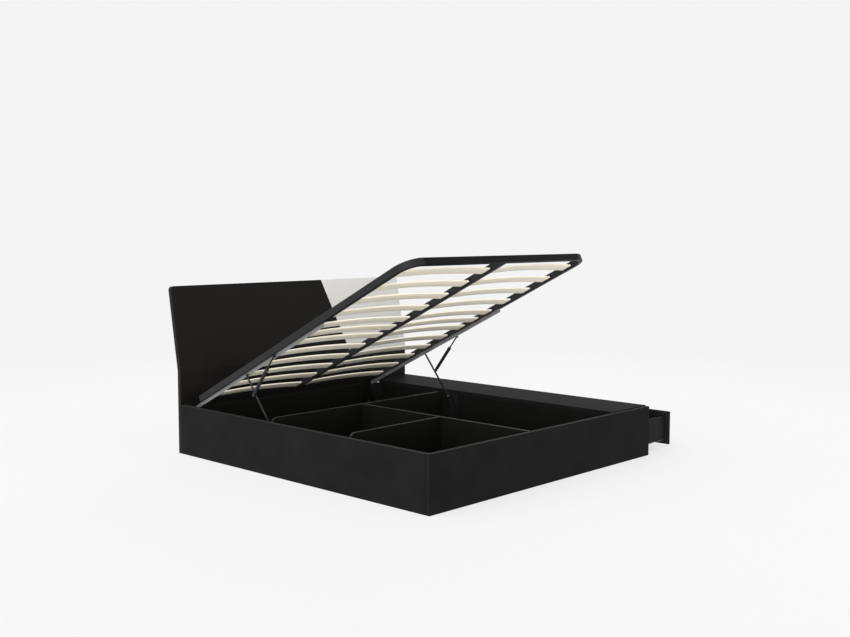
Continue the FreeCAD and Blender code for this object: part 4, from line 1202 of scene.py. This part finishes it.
@dataclass
class Studio:
    """A pale floor that runs into a pale background, soft light and the camera at the photograph's angle."""

    background: str = "#f4f4f4"
    floor_half: float = 40.0
    floor_drop: float = 0.5 * MM
    fade_start: float = 3.0
    fade_end: float = 7.0
    near_share: float = 0.76
    under_edge: float = 60 * MM
    floor_paint: str = "#fcfcfc"
    # The floor's tone for the light that it throws back at the bed
    floor_return: str = "#c8c8c8"
    sky_strength: float = 0.45
    lamps: tuple[Lamp, ...] = (
        # From above on the left, for the ledge and the upper faces
        Lamp("key_lamp", Vector((-0.6, 0.15, 0.8)), 1.7, math.radians(70)),
        # From beside the camera, for the panels that face it
        Lamp("front_lamp", Vector((-0.8, -0.6, 0.05)), 0.6, math.radians(40)),
        # From just under the horizon, for the slats' undersides
        Lamp("bounce_lamp", Vector((-0.8, -0.6, -0.03)), 4.2, math.radians(60)),
        # From behind, for the drawers and the far sides, kept out of the ledge's sheen
        Lamp("fill_lamp", Vector((0.75, 0.6, 0.06)), 1.8, math.radians(60), mirrored=False),
    )
    camera_place: Vector = Vector((-4.587, -4.475, 1.357))
    camera_yaw: float = math.radians(46.28)
    camera_pitch: float = math.radians(4.68)
    focal_pixels: float = 1063.9
    picture_pixels: float = 850.0
    sensor_width_mm: float = 36.0

    @staticmethod
    def seen(tree: bpy.types.NodeTree) -> bpy.types.NodeSocket:
        """Tells the rays that show the background itself: straight, mirrored or through glass.

        Args:
            tree: The tree of the floor or the sky.

        Returns:
            One for these rays, and nought for others.
        """
        path = add_node(tree, "ShaderNodeLightPath")
        some = add_node(tree, "ShaderNodeMath",
                        {0: path.outputs["Is Camera Ray"], 1: path.outputs["Is Glossy Ray"]},
                        operation="MAXIMUM")
        every = add_node(tree, "ShaderNodeMath",
                         {0: some.outputs["Value"], 1: path.outputs["Is Transmission Ray"]},
                         operation="MAXIMUM")
        return every.outputs["Value"]

    def build_sky(self) -> None:
        """Lights the scene evenly, and shows the pale background to the camera."""
        world = bpy.data.worlds.new("studio_sky")
        bpy.context.scene.world = world
        tree = empty_tree(world)
        light = add_node(tree, "ShaderNodeBackground",
                         {"Color": (1, 1, 1, 1), "Strength": self.sky_strength})
        shown = add_node(tree, "ShaderNodeBackground", {"Color": linear(self.background), "Strength": 1.0})
        mix = add_node(tree, "ShaderNodeMixShader",
                       {0: self.seen(tree), 1: light.outputs["Background"], 2: shown.outputs["Background"]})
        add_node(tree, "ShaderNodeOutputWorld", {"Surface": mix.outputs["Shader"]})

    def under_bed(self, tree: bpy.types.NodeTree, place: bpy.types.NodeSocket) -> bpy.types.NodeSocket:
        """One on the floor that the base covers, and nought outside it.

        Args:
            tree: The floor's tree.
            place: The place on the floor.

        Returns:
            The share that lies under the bed.
        """
        edges = (("X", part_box("left_side_panel")[0].x, 1), ("Y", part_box("foot_panel")[0].y, 1),
                 ("X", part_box("drawer_fascia")[1].x, -1), ("Y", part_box("headboard_lower_panel")[0].y, -1))
        axes = add_node(tree, "ShaderNodeSeparateXYZ", {"Vector": place})
        steps = []
        for axis, edge, inward in edges:
            step = add_node(tree, "ShaderNodeMapRange",
                            {"Value": axes.outputs[axis], "From Min": edge,
                             "From Max": edge + inward * self.under_edge})
            steps.append(step.outputs["Result"])
        inside = steps[0]
        for step in steps[1:]:
            both = add_node(tree, "ShaderNodeMath", {0: inside, 1: step}, operation="MULTIPLY")
            inside = both.outputs["Value"]
        return inside

    def floor_material(self) -> bpy.types.Material:
        """Paints a matt pale floor that takes the bed's shadow and melts into the background farther out.

        Returns:
            The floor's material.
        """
        material = bpy.data.materials.new("floor_painted_pale")
        tree = empty_tree(material)
        seen = self.seen(tree)
        place = add_node(tree, "ShaderNodeTexCoord").outputs["Object"]
        reach = add_node(tree, "ShaderNodeVectorMath", {0: place}, operation="LENGTH")
        share = add_node(tree, "ShaderNodeMapRange",
                         {"Value": reach.outputs["Value"], "From Min": self.fade_start,
                          "From Max": self.fade_end, "To Min": self.near_share, "To Max": 1.0},
                         interpolation_type="SMOOTHSTEP")
        open_floor = add_node(tree, "ShaderNodeMath", {0: 1.0, 1: self.under_bed(tree, place)},
                              operation="SUBTRACT")
        lit = add_node(tree, "ShaderNodeMath", {0: share.outputs["Result"], 1: open_floor.outputs["Value"]},
                       operation="MULTIPLY")
        gate = add_node(tree, "ShaderNodeMath", {0: lit.outputs["Value"], 1: seen}, operation="MULTIPLY")
        tone = add_node(tree, "ShaderNodeMix",
                        {0: seen, 6: linear(self.floor_return), 7: linear(self.floor_paint)},
                        data_type="RGBA")
        paint = add_node(tree, "ShaderNodeBsdfDiffuse", {"Color": tone.outputs[2], "Roughness": 0.0})
        glow = add_node(tree, "ShaderNodeEmission", {"Color": linear(self.background), "Strength": 1.0})
        mix = add_node(tree, "ShaderNodeMixShader",
                       {0: gate.outputs["Value"], 1: paint.outputs["BSDF"], 2: glow.outputs["Emission"]})
        add_node(tree, "ShaderNodeOutputMaterial", {"Surface": mix.outputs["Shader"]})
        return material

    def build_floor(self) -> None:
        """Lays the floor just under the bed; it casts no shadow, so the bounce lamp shines through it."""
        shape = bmesh.new()
        bmesh.ops.create_grid(shape, x_segments=1, y_segments=1, size=self.floor_half)
        bmesh.ops.translate(shape, vec=(0, 0, -self.floor_drop), verts=shape.verts)
        mesh = bpy.data.meshes.new("studio_floor")
        shape.to_mesh(mesh)
        shape.free()
        mesh.materials.append(self.floor_material())
        floor = add_object("studio_floor", mesh)
        floor.visible_shadow = False

    def build_camera(self) -> None:
        """Sets the camera at the photograph's angle."""
        data = bpy.data.cameras.new("photo_camera")
        data.sensor_width = self.sensor_width_mm
        data.lens = self.focal_pixels * data.sensor_width / self.picture_pixels
        camera = add_object("photo_camera", data)
        camera.location = self.camera_place
        camera.rotation_euler = (math.pi / 2 - self.camera_pitch, 0, -self.camera_yaw)
        bpy.context.scene.camera = camera

    def build(self) -> None:
        """Makes the floor, the light and the camera."""
        bpy.context.scene.view_settings.view_transform = "Standard"
        self.build_sky()
        self.build_floor()
        for lamp in self.lamps:
            lamp.build()
        self.build_camera()


def main() -> None:
    """Builds and dresses the bed's sub-assemblies in order, then the studio."""
    logging.basicConfig(level=logging.INFO, format="%(name)s: %(message)s")
    palette = Palette()
    assemblies = (BaseBox(palette), Headboard(palette), SlattedPlatform(palette), LiftGear(palette),
                  DrawerSet(palette))
    for assembly in assemblies:
        assembly.dress()
        assembly.build()
        log.info("%s is built", type(assembly).__name__)
    Studio().build()


if __name__ == "__main__":
    main()
